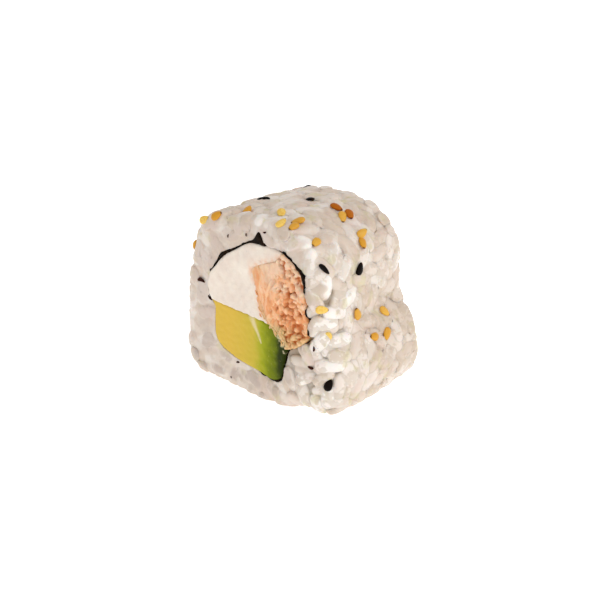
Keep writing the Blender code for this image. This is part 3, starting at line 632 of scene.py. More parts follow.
def copies(shape, centres, axes, halves, bend=None):
    """One mesh of many copies of a unit shape, each at its own centre, turn and half size."""
    points, faces = shape
    scaled = points[None] * halves[:, None, :]
    if bend is not None:
        scaled[:, :, 1] += bend[:, None] * (points[None, :, 0] ** 2 - 0.4) * halves[:, 1:2]
    laid = np.einsum("nmi,nij->nmj", scaled, axes) + centres[:, None]
    count = len(points)
    joined = [tuple(v + i * count for v in face) for i in range(len(centres)) for face in faces]
    return laid.reshape(-1, 3), joined


def beads_of(centres, axes, halves):
    """Five places along each body, and which body each belongs to."""
    beads = centres[:, None] + BEAD_STEPS[None, :, None] * halves[:, None, :1] * axes[:, None, 0]
    return beads.reshape(-1, 3), np.repeat(np.arange(len(centres)), len(BEAD_STEPS))


def filler_grains(rng, grains):
    """Grains that lie a little deeper and close the gaps between those of the solid."""
    centres, axes, size = grains
    halves = size[:, None] * GRAIN_HALF
    beads = list(beads_of(centres, axes, halves)[0])
    bearing, run = rng.uniform(0, 2 * math.pi, FILLER_TRIES), rng.uniform(0.1, 2.9, FILLER_TRIES)
    point, normal, along, around = skin_frame(bearing, run)
    deep = point - normal * FILLER_SINK
    wanted = rng.uniform(0, 1, len(bearing)) > FILLER_SKIP * rim_share(bearing, point[:, 1], 1.6, 5 * MM)
    choices = np.linspace(0, math.pi, 8, endpoint=False)
    steps = BEAD_STEPS[None, :, None] * GRAIN_LENGTH * 0.42
    found = []
    for i in np.flatnonzero(wanted):
        close = np.array(beads)
        close = close[np.linalg.norm(close - deep[i], axis=1) < GRAIN_LENGTH]
        if len(close) and np.min(np.linalg.norm(close - deep[i], axis=1)) < FILLER_CLEARANCE:
            continue
        lean = np.cos(choices)[:, None] * along[i] + np.sin(choices)[:, None] * around[i]
        own = deep[i] + steps * lean[:, None]
        best = int(np.argmin(crowding(own, close)))
        beads += list(own[best])
        found.append((deep[i], axes_of(lean[best] + normal[i] * rng.normal(0, 0.1), normal[i])))
    centres, axes = (np.array(column) for column in zip(*found))
    return centres, axes, rng.uniform(0.8, 0.95, len(found))


def core_blank():
    """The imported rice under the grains, as a closed mesh."""
    around = CORE_SIDES
    runs = np.concatenate([np.linspace(*part) for part in CORE_RUNS])
    bearings = full_turn(around)
    rings = []
    for run in runs:
        point, normal, _, _ = skin_frame(bearings, np.full(around, run))
        side = softness(bearings) if run < 1 else np.full(around, float(run <= 2))
        rings.append(point - normal * (CORE_FACE_DEPTH + (CORE_DEPTH - CORE_FACE_DEPTH) * side)[:, None])
    points = np.concatenate(rings + [rings[0].mean(axis=0)[None], rings[-1].mean(axis=0)[None]])
    faces = ring_faces(around, len(runs))
    near, last = len(points) - 2, (len(runs) - 1) * around
    faces += [(near, (k + 1) % around, k) for k in range(around)]
    faces += [(near + 1, last + k, last + (k + 1) % around) for k in range(around)]
    return points, faces


def melted(points, faces):
    """One smooth skin round everything, as points and four-sided faces."""
    maker = placed("blank", plain_mesh("blank", points, faces))
    skin_over = maker.modifiers.new("skin", "REMESH")
    skin_over.mode, skin_over.voxel_size = "VOXEL", VOXEL
    soften = maker.modifiers.new("soften", "SMOOTH")
    soften.factor, soften.iterations = 0.5, 2
    graph = bpy.context.evaluated_depsgraph_get()
    result = maker.evaluated_get(graph).to_mesh()
    found = np.empty(len(result.vertices) * 3)
    result.vertices.foreach_get("co", found)
    quads = np.empty(len(result.loops), int)
    result.loops.foreach_get("vertex_index", quads)
    bpy.data.objects.remove(maker)
    return found.reshape(-1, 3), quads.reshape(-1, 4)


def sheet_offsets(bearing):
    """The seaweed's inner and outer sides, from its middle. It is thicker where it shows wide, and this extra
    dark thickness is partly painted shade of the gap between seaweed and rice.
    """
    half = SHEET_THICKNESS / 2
    return -half, half + np.clip(sheet_and_shade_shows(bearing) - 2 * half, 0, 1) + flap(bearing)


def hole_radius(bearing, y):
    """The rice's inner edge. At a cut it leans over the seaweed as far as that is hidden."""
    inner, outer = sheet_offsets(bearing)
    lean = np.clip(1 - (LENGTH / 2 - np.abs(y) - LIP) / LIP_FADE, 0, 1)
    hidden = np.clip(outer - inner - flap(bearing) - np.clip(sheet_and_shade_shows(bearing), 0, 1), 0, 1)
    return (sheet_radius(bearing) + outer + 0.03 * MM - hidden * lean) * shrink(y)


def nearest_grains(points, centres, axes, halves):
    """For each point, the grains that lie closest to it."""
    beads, owner = beads_of(centres, axes, halves)
    tree = tree_of(beads)
    found = np.array([[hit[1] for hit in tree.find_n(p, NEAR_BEADS)] for p in points])
    found = owner[found]
    chosen = np.repeat(found[:, :1], NEAR_GRAINS, axis=1)
    for place in range(1, NEAR_GRAINS):
        fresh = np.all(found[:, :, None] != chosen[:, None, :place], axis=2)
        chosen[:, place] = found[np.arange(len(found)), np.argmax(fresh, axis=1)]
    return chosen


def grain_gaps(points, near, centres, axes, halves):
    """How far outside each of its near grains every point lies, and the directions away from them."""
    gaps, away = np.empty(near.shape), np.empty(near.shape + (3,))
    for k in range(near.shape[1]):
        grain = near[:, k]
        turned, half = axes[grain], halves[grain]
        local = np.einsum("nij,nj->ni", turned, points - centres[grain]) / half
        along, girth = np.abs(local[:, 0]), np.hypot(local[:, 1], local[:, 2]) + 1e-9
        reach = (along**GRAIN_BLUNTNESS + girth**GRAIN_BLUNTNESS) ** (1 / GRAIN_BLUNTNESS)
        rise = reach ** (1 - GRAIN_BLUNTNESS)
        across = rise * girth ** (GRAIN_BLUNTNESS - 1) / girth
        ahead = rise * along ** (GRAIN_BLUNTNESS - 1) * np.sign(local[:, 0])
        slope = np.stack([ahead, across * local[:, 1], across * local[:, 2]], axis=1) / half
        steep = np.linalg.norm(slope, axis=1) + 1e-9
        gaps[:, k] = (reach - 1) / steep
        away[:, k] = np.einsum("ni,nij->nj", slope / steep[:, None], turned)
    return gaps, away


def crisped(points, near, grains):
    """Draws the melted skin onto the grains, which stay apart at the near rim and run together elsewhere."""
    crisp = rim_share(bearing_of(points), points[:, 1], 1.6, 7 * MM)
    melt = (SOFT_MELT + (CRISP_MELT - SOFT_MELT) * crisp)[:, None]
    for _ in range(3):
        gaps, away = grain_gaps(points, near, *grains)
        share = np.exp(-(gaps - gaps.min(axis=1, keepdims=True)) / melt)
        total = share.sum(axis=1, keepdims=True)
        gap = gaps.min(axis=1) - melt[:, 0] * np.log(total[:, 0])
        lean = np.einsum("nk,nkj->nj", share / total, away)
        steep = np.sum(lean**2, axis=1) + 0.05
        pull = np.clip(1 - np.abs(gap) / PULL_REACH, 0, 1) ** 0.5
        points = points - lean * (np.clip(gap, -PULL_MOST, PULL_MOST) * pull / steep)[:, None]
    return points


def pressed(points):
    """Presses what stands out of the skin flat, as the mat and the knife did, and fills the gaps a little.
    Also gives how far outside the skin each place then lies."""
    around, along = full_turn(PRESS_GRID[0]), np.linspace(0.03, 2.97, PRESS_GRID[1])
    bearings, runs = np.meshgrid(around, along)
    places, normals, _, _ = skin_frame(bearings.ravel(), runs.ravel())
    tree = tree_of(places)
    at = np.array([tree.find(p)[1] for p in points])
    normal = normals[at]
    height = np.sum((points - places[at]) * normal, axis=1)
    bearing, run = bearings.ravel()[at], runs.ravel()[at]
    on_cut = np.clip((1.0 - run) / 0.25, 0, 1) * (1 - softness(bearing))
    near_rim = rim_share(bearing, points[:, 1], 1.8, 5 * MM)
    floor = -(PRESS_FLOOR + RIM_FLOOR * near_rim - CUT_FLOOR * on_cut) * MM
    low = PRESS_CEILING - PRESS_BEND * np.logaddexp(0, (PRESS_CEILING - height) / PRESS_BEND)
    eased = floor + PRESS_BEND * np.logaddexp(0, (low - floor) / PRESS_BEND)
    outer = np.clip((height + 3 * MM) / MM, 0, 1)
    return points + normal * ((eased - height) * outer)[:, None], eased


def cut_to_size(points, quads):
    """Cuts both ends and the foot flat and opens the hole for the seaweed, all as one closed mesh. Also gives
    how far out the rice's inner edge comes at each end."""
    rice = placed("blank", plain_mesh("blank", points, quads.tolist()))
    bearings = full_turn(HOLE_SIDES)
    rings = [polar(bearings, hole_radius(bearings, y), y) for y in HOLE_STATIONS * LENGTH / 2]
    faces = ring_faces(HOLE_SIDES, len(rings))
    last = (len(rings) - 1) * HOLE_SIDES
    faces += [tuple(range(HOLE_SIDES))[::-1], tuple(range(last, last + HOLE_SIDES))]
    reach, half, foot = CUTTER_REACH, LENGTH / 2, -CUTTER_REACH / 6
    made = [(np.concatenate(rings), faces)]
    for spans in (
        ((-reach, reach), (-reach, 0.0)), ((-reach, -half), (foot, reach)), ((half, reach), (foot, reach)),
    ):
        made.append(([(x, y, z) for x in (-reach, reach) for y in spans[0] for z in spans[1]], BOX_SIDES))
    cutters = bpy.data.collections.new("cutters")
    for corners, sides in made:
        mesh = plain_mesh("cutter", corners, sides)
        work = bmesh.new()
        work.from_mesh(mesh)
        bmesh.ops.recalc_face_normals(work, faces=work.faces)
        work.to_mesh(mesh)
        work.free()
        cutters.objects.link(bpy.data.objects.new("cutter", mesh))
    cut = rice.modifiers.new("cut", "BOOLEAN")
    cut.operand_type, cut.collection = "COLLECTION", cutters
    cut.operation, cut.solver = "DIFFERENCE", "MANIFOLD"
    graph = bpy.context.evaluated_depsgraph_get()
    result = bpy.data.meshes.new_from_object(rice.evaluated_get(graph), depsgraph=graph)
    for used in [rice, *cutters.objects]:
        bpy.data.objects.remove(used)
    bpy.data.collections.remove(cutters)
    points = np.array([v.co[:] for v in result.vertices])
    faces = [tuple(p.vertices) for p in result.polygons]
    bearing, y = bearing_of(points), points[:, 1]
    radius = np.hypot(points[:, 0] - AXIS_X, points[:, 2] - AXIS_HEIGHT)
    wall = np.abs(radius - hole_radius(bearing, y)) < WALL_TOLERANCE
    slot = 2 * math.pi / EDGE_SLOTS
    ends = []
    for sign in (-1, 1):
        mine = wall & (y * sign > LENGTH / 4)
        reach = np.abs(y[mine])
        slots = ((bearing[mine] + math.pi) / slot).astype(int) % EDGE_SLOTS
        filled = [s for s in range(EDGE_SLOTS) if np.any(slots == s)]
        furthest = np.array([reach[slots == s].max() for s in filled])
        ends.append(edge_line(-math.pi + (np.array(filled) + 0.5) * slot, furthest))
    return points, faces, ends


def edge_line(bearing, reach):
    """How far out along the roll the rice's inner edge comes, at any bearing, smoothed from some places."""
    stations = np.linspace(-math.pi, math.pi, EDGE_SLOTS, endpoint=False)
    away = np.abs((stations[:, None] - bearing[None] + math.pi) % (2 * math.pi) - math.pi)
    weight = np.exp(-((away / math.radians(1.5)) ** 2))
    found = (weight * reach[None]).sum(axis=1) / weight.sum(axis=1)
    return lambda place: np.interp(place, stations, found, period=2 * math.pi)


def rice_marks(points, depth, near, grains, rng):
    """How each place looks: its grain's tone, how near it is to the seams between grains and how deep it lies
    below the skin, which the material paints as shade, and whether a knife cut it."""
    gaps, _ = grain_gaps(points, near, *grains)
    order = np.sort(gaps, axis=1)
    seam_shade = np.exp(-(((order[:, 1] - order[:, 0]) / SEAM_SHADE_WIDTH) ** 2))
    seam_shade *= 0.5 + 0.5 * softness(bearing_of(points))
    share = np.exp(-(gaps - gaps.min(axis=1, keepdims=True)) / TONE_BLEND)
    share /= share.sum(axis=1, keepdims=True)
    cut = np.clip(1 - (LENGTH / 2 - np.abs(points[:, 1])) / CUT_FADE, 0, 1)
    rim = rim_share(bearing_of(grains[0]), grains[0][:, 1], 1.5, 6 * MM)
    tone = rng.uniform(0, 0.6, len(rim)) * (1 - rim) + rng.uniform(0.3, 0.9, len(rim)) * rim
    tone[:len(SHOWN_GRAINS)] = 1.0
    tone = np.sum(tone[near] * share, axis=1)
    # Nearness to the seams and depth below the skin are painted as shade by the material.
    return {"tone": tone, "seam_shade": seam_shade, "depth": np.clip(-depth / MM, 0, 3), "cut": cut}


def build_rice(looks):
    """The rice, as one closed mesh of grains. Gives where the seeds lie, its points, and its inner edges."""
    rng = np.random.default_rng(RANDOM_SEED)
    grains = laid_grains(rng)
    seeds = laid_seeds(rng, grains)
    rng = np.random.default_rng(RANDOM_SEED + 50)
    more = filler_grains(rng, grains)
    centres, axes, size = (np.concatenate(pair) for pair in zip(grains, more))
    halves = size[:, None] * GRAIN_HALF
    bodies, faces = copies(oval(*GRAIN_SHAPE), centres, axes, halves)
    core, core_faces = core_blank()
    faces += [tuple(v + len(bodies) for v in face) for face in core_faces]
    points, quads = melted(np.concatenate([bodies, core]), faces)
    grains = (centres, axes, halves)
    points = crisped(points, nearest_grains(points, *grains), grains)
    points, faces, ends = cut_to_size(pressed(points)[0], quads)
    marks = rice_marks(points, pressed(points)[1], nearest_grains(points, *grains), grains, rng)
    add_piece("rice_grains", "rice", points, faces, looks["rice"], marks)
    return seeds, points, ends


def settled(centres, axes, rice):
    """The seeds moved up or down so that each lies on the rice round it."""
    tree = tree_of(rice)
    moved = []
    for i, (centre, turned) in enumerate(zip(centres, axes)):
        round_it = np.array([rice[hit[1]] for hit in tree.find_range(centre, SEED_LENGTH * 0.8)])
        away = round_it - centre
        below = np.linalg.norm(away - (away @ turned[2])[:, None] * turned[2], axis=1) < SEED_WIDTH * 0.6
        ground = np.percentile(away[below] @ turned[2], SEED_GROUND)
        moved.append(centre + turned[2] * (ground + SEED_RISE - SEED_SUNK.get(i, 0.0)))
        moved[-1][2] = max(moved[-1][2], SEED_LOWEST)
    return np.array(moved)


def build_seeds(seeds, rice, looks):
    """Golden, brown and black sesame, each kind one mesh."""
    centres, axes = seeds
    centres = settled(centres, axes, rice)
    rows = (("brown", BROWN_SEEDS), ("golden", GOLDEN_SEEDS), ("pale", PALE_SEEDS), ("black", BLACK_SEEDS))
    kinds = np.array([kind for kind, places in rows for _ in places])
    kinds = np.concatenate([kinds, np.resize(["golden", "black", "golden", "pale"], HIDDEN_SEEDS)])
    kinds[YELLOW_SEED], kinds[DULL_SEED] = "pale", "golden"
    rng = np.random.default_rng(RANDOM_SEED + 60)
    shape = oval(*SEED_SHAPE)
    size = rng.uniform(0.92, 1.04, (len(kinds), 1))
    halves = size * np.array([SEED_LENGTH, SEED_WIDTH, SEED_THICKNESS]) / 2
    on_edge = len(SHOWN_SEEDS) - len(BLACK_SEEDS) + SEED_ON_EDGE
    axes[on_edge, 1:] = axes[on_edge, [2, 1]]
    for kind in ("golden", "brown", "black"):
        mine = np.flatnonzero((kinds == kind) | ((kinds == "pale") & (kind == "golden")))
        points, faces = copies(shape, centres[mine], axes[mine], halves[mine])
        end = np.tile(shape[0][:, 0], len(mine))
        tone = np.where(kinds[mine] == "pale", 1.0, rng.uniform(0, 0.45, len(mine)))
        if kind == "brown":
            end = np.abs(end)
        marks = {"end": end, "tone": np.repeat(tone, len(shape[0]))}
        add_piece(f"{kind}_sesame", "rice", points, faces, looks[kind], marks)


def build_flecks(rice, looks):
    """Dark scraps that lie on the rice at the near cut: partly seaweed, partly painted shade of crevices
    between grains.
    """
    x, z, turns, halves = np.array(FLECKS).T * np.array([[MM], [MM], [math.radians(1)], [MM]])
    places = []
    for spot in zip(x, z):
        close = (np.linalg.norm(rice[:, [0, 2]] - spot, axis=1) < FLECK_REACH) & (rice[:, 1] < 0)
        places.append((spot[0], rice[close, 1].min() if close.any() else -LENGTH / 2, spot[1]))
    forward = np.stack([np.cos(turns), np.zeros(len(turns)), np.sin(turns)], axis=1)
    axes = axes_of(forward, np.tile([0.0, -1.0, 0.0], (len(turns), 1)))
    sizes = np.stack([halves, halves * 0.4, np.full(len(turns), FLECK_DEPTH)], axis=1)
    bends = np.linspace(-0.8, 0.8, len(turns))
    points, faces = copies(oval(*FLECK_SHAPE), np.array(places), axes, sizes, bends)
    add_piece("seaweed_and_shade_flecks", "nori", points, faces, looks["fleck"])


def build_sheet(looks, ends):
    """The seaweed with a ragged edge, drawn back where rice or cheese covers it."""
    rng = np.random.default_rng(RANDOM_SEED + 70)
    bearings = full_turn(SHEET_SIDES)
    ragged, thick = waves(rng, 2.2 * MM), waves(rng, 3.0 * MM)
    inner, outer = sheet_offsets(bearings)
    back = np.clip(1 - sheet_and_shade_shows(bearings) / SHEET_BACK_FADE, 0, 1) * SHEET_BACK
    rings = []
    for side, offset in ((1, outer), (-1, inner)):
        for part in np.linspace(-1, 1, SHEET_ROWS)[::side]:
            radii = sheet_radius(bearings)
            place = polar(bearings, radii, part * LENGTH / 2)
            out = radii + offset + side * SHEET_UNEVEN * thick(place)
            end = ends[int(part > 0)](bearings) - back + SHEET_RAGGED * ragged(place)
            flat = polar(bearings, out, 0.0)[:, [0, 2]]
            rings.append(ring_at(flat, part * end))
    faces = ring_faces(SHEET_SIDES, len(rings), closed=True)
    add_piece("seaweed", "nori", np.concatenate(rings), faces, looks["nori"])


def face_grid(outline, step):
    """Points and triangles that fill an outline evenly, the outline's own points first."""
    low, high = outline.min(axis=0), outline.max(axis=0)
    rows, columns = np.arange(low[1], high[1], step * 0.87), np.arange(low[0], high[0], step)
    grid = np.array([(x + (i % 2) * step / 2, z) for i, z in enumerate(rows) for x in columns])
    clear = np.min(np.linalg.norm(grid[:, None] - outline[None], axis=2), axis=1) > step * 0.6
    grid = grid[clear]
    grid = grid[inside(outline, grid)]
    count = len(outline)
    flat = [Vector(p) for p in np.vstack([outline, grid])]
    found = delaunay_2d_cdt(flat, [(k, (k + 1) % count) for k in range(count)], [], 1, 1e-7)
    return np.array([tuple(v) for v in found[0]]), [tuple(t) for t in found[2]]


def edge_distance(outline, points):
    """How far each point lies from the outline."""
    start, end = outline[None], np.roll(outline, -1, axis=0)[None]
    run = end - start
    share = np.sum((points[:, None] - start) * run, axis=2) / (np.sum(run**2, axis=2) + 1e-18)
    nearest = start + np.clip(share, 0, 1)[..., None] * run
    return np.min(np.linalg.norm(points[:, None] - nearest, axis=2), axis=1)


def loaf(outline, reliefs, step, rounding):
    """A filling as points and faces: its two cut ends with relief and rounded edges, and its wall between."""
    flat, triangles = face_grid(outline, step)
    inward = np.clip(1 - edge_distance(outline, flat) / rounding, 0, 1)
    drop = rounding * 0.7 * (1 - np.sqrt(1 - inward**2 * 0.98))
    near = ring_at(flat, -LENGTH / 2 + drop - reliefs[0](flat))
    far = ring_at(flat, LENGTH / 2 - drop + reliefs[1](flat))
    total, count, rows = len(flat), len(outline), 9
    points, faces = [near, far], list(triangles) + [tuple(total + v for v in reversed(t)) for t in triangles]
    rings = [np.arange(count)]
    for row in range(1, rows):
        rings.append(2 * total + (row - 1) * count + np.arange(count))
        part = row / rows
        points.append(near[:count] * (1 - part) + far[:count] * part)
    rings.append(total + np.arange(count))
    for a, b in zip(rings, rings[1:]):
        faces += [(a[(k + 1) % count], a[k], b[k], b[(k + 1) % count]) for k in range(count)]
    return np.concatenate(points), faces


def filling_outline(start, end, onward, backward):
    """A filling's outline: an arc of the loop, then one border in its own order and one against it."""
    lines = [smooth_line(onward, LINE_STEP)[1:-1], smooth_line(backward, LINE_STEP)[::-1][1:-1]]
    outline = inset(np.vstack([loop_arc(start, end, LINE_STEP)] + lines), -FILLING_SPREAD)
    return spaced(np.vstack([outline, outline[:1]]), OUTLINE_STEP, closed=True)


def apart(points, line):
    """How far each point lies from each (x, z) point of a line, seen along the roll."""
    return np.linalg.norm(points[:, None, [0, 2]] - line[None], axis=2)


def flat_waves(rng, scale):
    """A random field over (x, z) points."""
    field = waves(rng, scale)
    return lambda points: field(np.stack([points[:, 0], np.zeros(len(points)), points[:, 1]], axis=1))


def build_cheese(looks):
    """Soft cheese, stained where it touches the salmon."""
    outline = filling_outline(TOP_JOINT, LEFT_JOINT, CHEESE_OVER_AVOCADO, CHEESE_BY_SALMON)
    rng = np.random.default_rng(RANDOM_SEED + 1)
    soft = [lumps(rng, *CHEESE_RELIEF) for _ in range(2)]
    rng = np.random.default_rng(RANDOM_SEED + 80)
    creases = [(flat_waves(rng, 2.2 * MM), flat_waves(rng, 0.9 * MM)) for _ in range(2)]
    reliefs = [
        lambda p, s=s, a=a, b=b: s(p) + 0.09 * MM * a(p) + 0.03 * MM * b(p)
        for s, (a, b) in zip(soft, creases)
    ]
    points, faces = loaf(outline, reliefs, *CHEESE_END)
    away = apart(points, smooth_line(CHEESE_BY_SALMON, 0.4 * MM)).min(axis=1)
    marks = {"stain": np.exp(-((away / (1.1 * MM)) ** 2))}
    add_piece("soft_cheese", "cream_cheese", points, faces, looks["cream_cheese"], marks)


def build_avocado(looks):
    """The avocado, with the wisp and the crumbs of cheese that lie on its near cut."""
    outline = filling_outline(LEFT_JOINT, RIGHT_JOINT, AVOCADO_BY_SALMON, CHEESE_OVER_AVOCADO)
    rng = np.random.default_rng(RANDOM_SEED + 2)
    soft = [lumps(rng, *AVOCADO_RELIEF) for _ in range(2)]
    rng = np.random.default_rng(RANDOM_SEED + 81)
    marks = [flat_waves(rng, 1.6 * MM) for _ in range(2)]
    reliefs = [lambda p, s=s, m=m: s(p) + 0.04 * MM * m(p) for s, m in zip(soft, marks)]
    points, faces = loaf(outline, reliefs, *AVOCADO_END)
    wisp = smooth_line(CHEESE_WISP, 0.3 * MM)
    thin = np.linspace(0.95, 0.25, len(wisp)) * MM
    smear = np.exp(-((apart(points, wisp) / thin) ** 2)).max(axis=1) * (points[:, 1] < 0)
    border = smooth_line(AVOCADO_BY_SALMON, 0.2 * MM)
    crumbs = border[rng.integers(len(border), size=CHEESE_CRUMBS)]
    crumbs = crumbs - rng.uniform(0.0, 1.3, (CHEESE_CRUMBS, 2)) * MM
    width = rng.uniform(0.22, 0.4, CHEESE_CRUMBS) * MM
    speck = np.exp(-((apart(points, crumbs) / width) ** 2)).max(axis=1)
    marks = {"smear": np.maximum(smear, speck)}
    add_piece("avocado_slice", "avocado", points, faces, looks["avocado"], marks)


def flake_field(rng, outline):
    """Flakes and crumbs at a cut end, as heights and tones at (x, z) points. Long fibres are on the left."""
    low, high = outline.min(axis=0), outline.max(axis=0)
    count = FLAKE_COUNT
    centres = rng.uniform(low, high, (count, 2))
    across = (centres[:, 0] - low[0]) / (high[0] - low[0])
    left = np.clip(1.45 - across * 2.6, 0, 1)
    turn = np.radians(rng.normal(FIBRE_TURN, FIBRE_SPREAD, count)) * left
    turn = turn + rng.uniform(0, math.pi, count) * (1 - left)
    long, wide, tall, base = (
        (rng.uniform(*fibre, count) * left + rng.uniform(*crumb, count) * (1 - left)) * MM
        for fibre, crumb in FLAKE_RANGES
    )
    clump = flat_waves(rng, 4.0 * MM)(centres)
    base += 0.5 * MM * clump * (1 - left)
    tone = rng.uniform(0, 1, count)

    def field(points):
        away = points[:, None] - centres[None]
        u = (away[..., 0] * np.cos(turn) + away[..., 1] * np.sin(turn)) / long
        v = (-away[..., 0] * np.sin(turn) + away[..., 1] * np.cos(turn)) / wide
        swell = 1 - np.minimum(u**2 + v**2, 1)
        height = np.where(swell > 0, base + tall * np.sqrt(swell), FLAKE_FLOOR)
        best = np.argmax(height, axis=1)
        top = np.maximum(height[np.arange(len(points)), best], FLAKE_FLOOR)
        for x, z, wide_half, high_half, depth in SALMON_GAPS:
            from_gap = ((points - (x * MM, z * MM)) / (wide_half * MM, high_half * MM)) ** 2
            top = top - depth * MM * np.exp(-from_gap.sum(axis=1))
        return FLAKE_CEILING - FLAKE_EASE * np.logaddexp(0, (FLAKE_CEILING - top) / FLAKE_EASE), tone[best]

    return field


def build_salmon(looks):
    """The salmon, with its flakes and the loose ones at its border."""
    outline = filling_outline(RIGHT_JOINT, 360 + TOP_JOINT, CHEESE_BY_SALMON, AVOCADO_BY_SALMON)
    rng = np.random.default_rng(RANDOM_SEED + 3)
    soft = [lumps(rng, *SALMON_RELIEF) for _ in range(2)]
    rng = np.random.default_rng(RANDOM_SEED + 82)
    fields = [flake_field(rng, outline) for _ in range(2)]
    reliefs = [lambda p, s=s, f=f: 0.25 * s(p) + f(p)[0] for s, f in zip(soft, fields)]
    points, faces = loaf(outline, reliefs, *SALMON_END)
    flat = points[:, [0, 2]]
    middle = np.array([AXIS_X, AXIS_HEIGHT])
    at_cut = middle + (flat - middle) / shrink(points[:, 1])[:, None]
    # How far each place lies below the flakes' tops, which the material paints as shade in the gaps
    sunk_shade, tone = np.where(points[:, 1] < 0, fields[0](at_cut), fields[1](at_cut))
    flakes, flake_faces, flake_tone = loose_flakes(rng)
    faces += [tuple(v + len(points) for v in face) for face in flake_faces]
    sunk_shade = np.concatenate([sunk_shade / MM, np.full(len(flakes), 0.3)])
    marks = {"tone": np.concatenate([tone, flake_tone]), "sunk_shade": sunk_shade}
    add_piece("flaked_salmon", "salmon", np.concatenate([points, flakes]), faces, looks["salmon"], marks)


def loose_flakes(rng):
    """Shreds and crumbs that straggle over the cheese and the avocado along the salmon's border."""
    line = np.vstack([smooth_line(part, 0.5 * MM) for part in (CHEESE_BY_SALMON[2:], AVOCADO_BY_SALMON[1:])])
    shape = oval(*FLAKE_SHAPE)
    centres, axes, halves = [], [], []
    for end in (-1, 1):
        for _ in range(LOOSE_FLAKES):
            spot = line[rng.integers(len(line))] + rng.normal(0, 0.55, 2) * MM
            turn = math.radians(rng.normal(95, 28))
            forward = np.array([math.cos(turn), rng.normal(0, 0.15), math.sin(turn)])
            y = end * (LENGTH / 2 + rng.uniform(-0.1, 0.15) * MM)
            centres.append(ring_at(spot[None], y)[0])
            axes.append(axes_of(forward, np.array([0.0, float(end), 0.0])))
            halves.append([rng.uniform(*sizes) * MM for sizes in LOOSE_RANGES])
    centres, axes, halves = np.array(centres), np.array(axes), np.array(halves)
    points, faces = copies(shape, centres, axes, halves, rng.normal(0, 0.6, len(centres)))
    return points, faces, np.repeat(rng.uniform(0, 1, len(centres)), len(shape[0]))


class Look:
    """A material and short ways to add the nodes that its colour comes from."""

    def __init__(
        self, name, ground, roughness, soak=0.0, soak_colour=(1.0, 0.5, 0.3), soak_depth=MM, gloss=0.5,
    ):
        self.material = bpy.data.materials.new(name)
        self.material.use_nodes = True
        self.nodes, self.links = self.material.node_tree.nodes, self.material.node_tree.links
        self.shader = self.nodes["Principled BSDF"]
        self.place = self.nodes.new("ShaderNodeTexCoord").outputs["Object"]
        self.tint = ground
        self.set("Roughness", roughness)
        self.set("Subsurface Weight", soak)
        self.set("Subsurface Radius", soak_colour)
        self.set("Subsurface Scale", soak_depth)
        self.set("Specular IOR Level", gloss)

    def set(self, name, value):
        self.shader.inputs[name].default_value = value

    def mark(self, name):
        node = self.nodes.new("ShaderNodeAttribute")
        node.attribute_name = name
        return node.outputs["Fac"]

    def noise(self, scale, detail=3.0, rough=0.6, stretch=(1.0, 1.0, 1.0)):
        mapping = self.nodes.new("ShaderNodeMapping")
        mapping.inputs["Scale"].default_value = stretch
        self.links.new(self.place, mapping.inputs["Vector"])
        node = self.nodes.new("ShaderNodeTexNoise")
        for name, number in (("Scale", 1 / scale), ("Detail", detail), ("Roughness", rough)):
            node.inputs[name].default_value = number
        self.links.new(mapping.outputs["Vector"], node.inputs["Vector"])
        return node.outputs["Fac"]

    def axis(self, name):
        node = self.nodes.new("ShaderNodeSeparateXYZ")
        self.links.new(self.place, node.inputs["Vector"])
        return node.outputs[name]

    def span(self, value, low, high, start=0.0, end=1.0):
        """Goes smoothly from one number to another while the value goes from low to high."""
        node = self.nodes.new("ShaderNodeMapRange")
        node.interpolation_type = "SMOOTHSTEP"
        self.links.new(value, node.inputs["Value"])
        for name, number in (("From Min", low), ("From Max", high), ("To Min", start), ("To Max", end)):
            node.inputs[name].default_value = number
        return node.outputs["Result"]

    def join(self, a, b, operation="ADD"):
        node = self.nodes.new("ShaderNodeMath")
        node.operation = operation
        for i, value in enumerate((a, b)):
            if isinstance(value, float):
                node.inputs[i].default_value = value
            else:
                self.links.new(value, node.inputs[i])
        return node.outputs["Value"]

    def over(self, share, tint):
        """Lays a colour over the ones before it, as far as the share says."""
        node = self.nodes.new("ShaderNodeMix")
        node.data_type = "RGBA"
        for name, value in (("Factor", share), ("A", self.tint), ("B", tint)):
            target = next(s for s in node.inputs if s.name == name and s.enabled)
            if isinstance(value, tuple):
                target.default_value = (*value, 1.0)
            else:
                self.links.new(value, target)
        self.tint = next(s for s in node.outputs if s.enabled)

    def done(self, height, depth):
        """Links the colour and a fine relief to the shader."""
        self.links.new(self.tint, self.shader.inputs["Base Color"])
        node = self.nodes.new("ShaderNodeBump")
        node.inputs["Strength"].default_value = 1.0
        node.inputs["Distance"].default_value = depth
        self.links.new(height, node.inputs["Height"])
        self.links.new(node.outputs["Normal"], self.shader.inputs["Normal"])
        return self.material


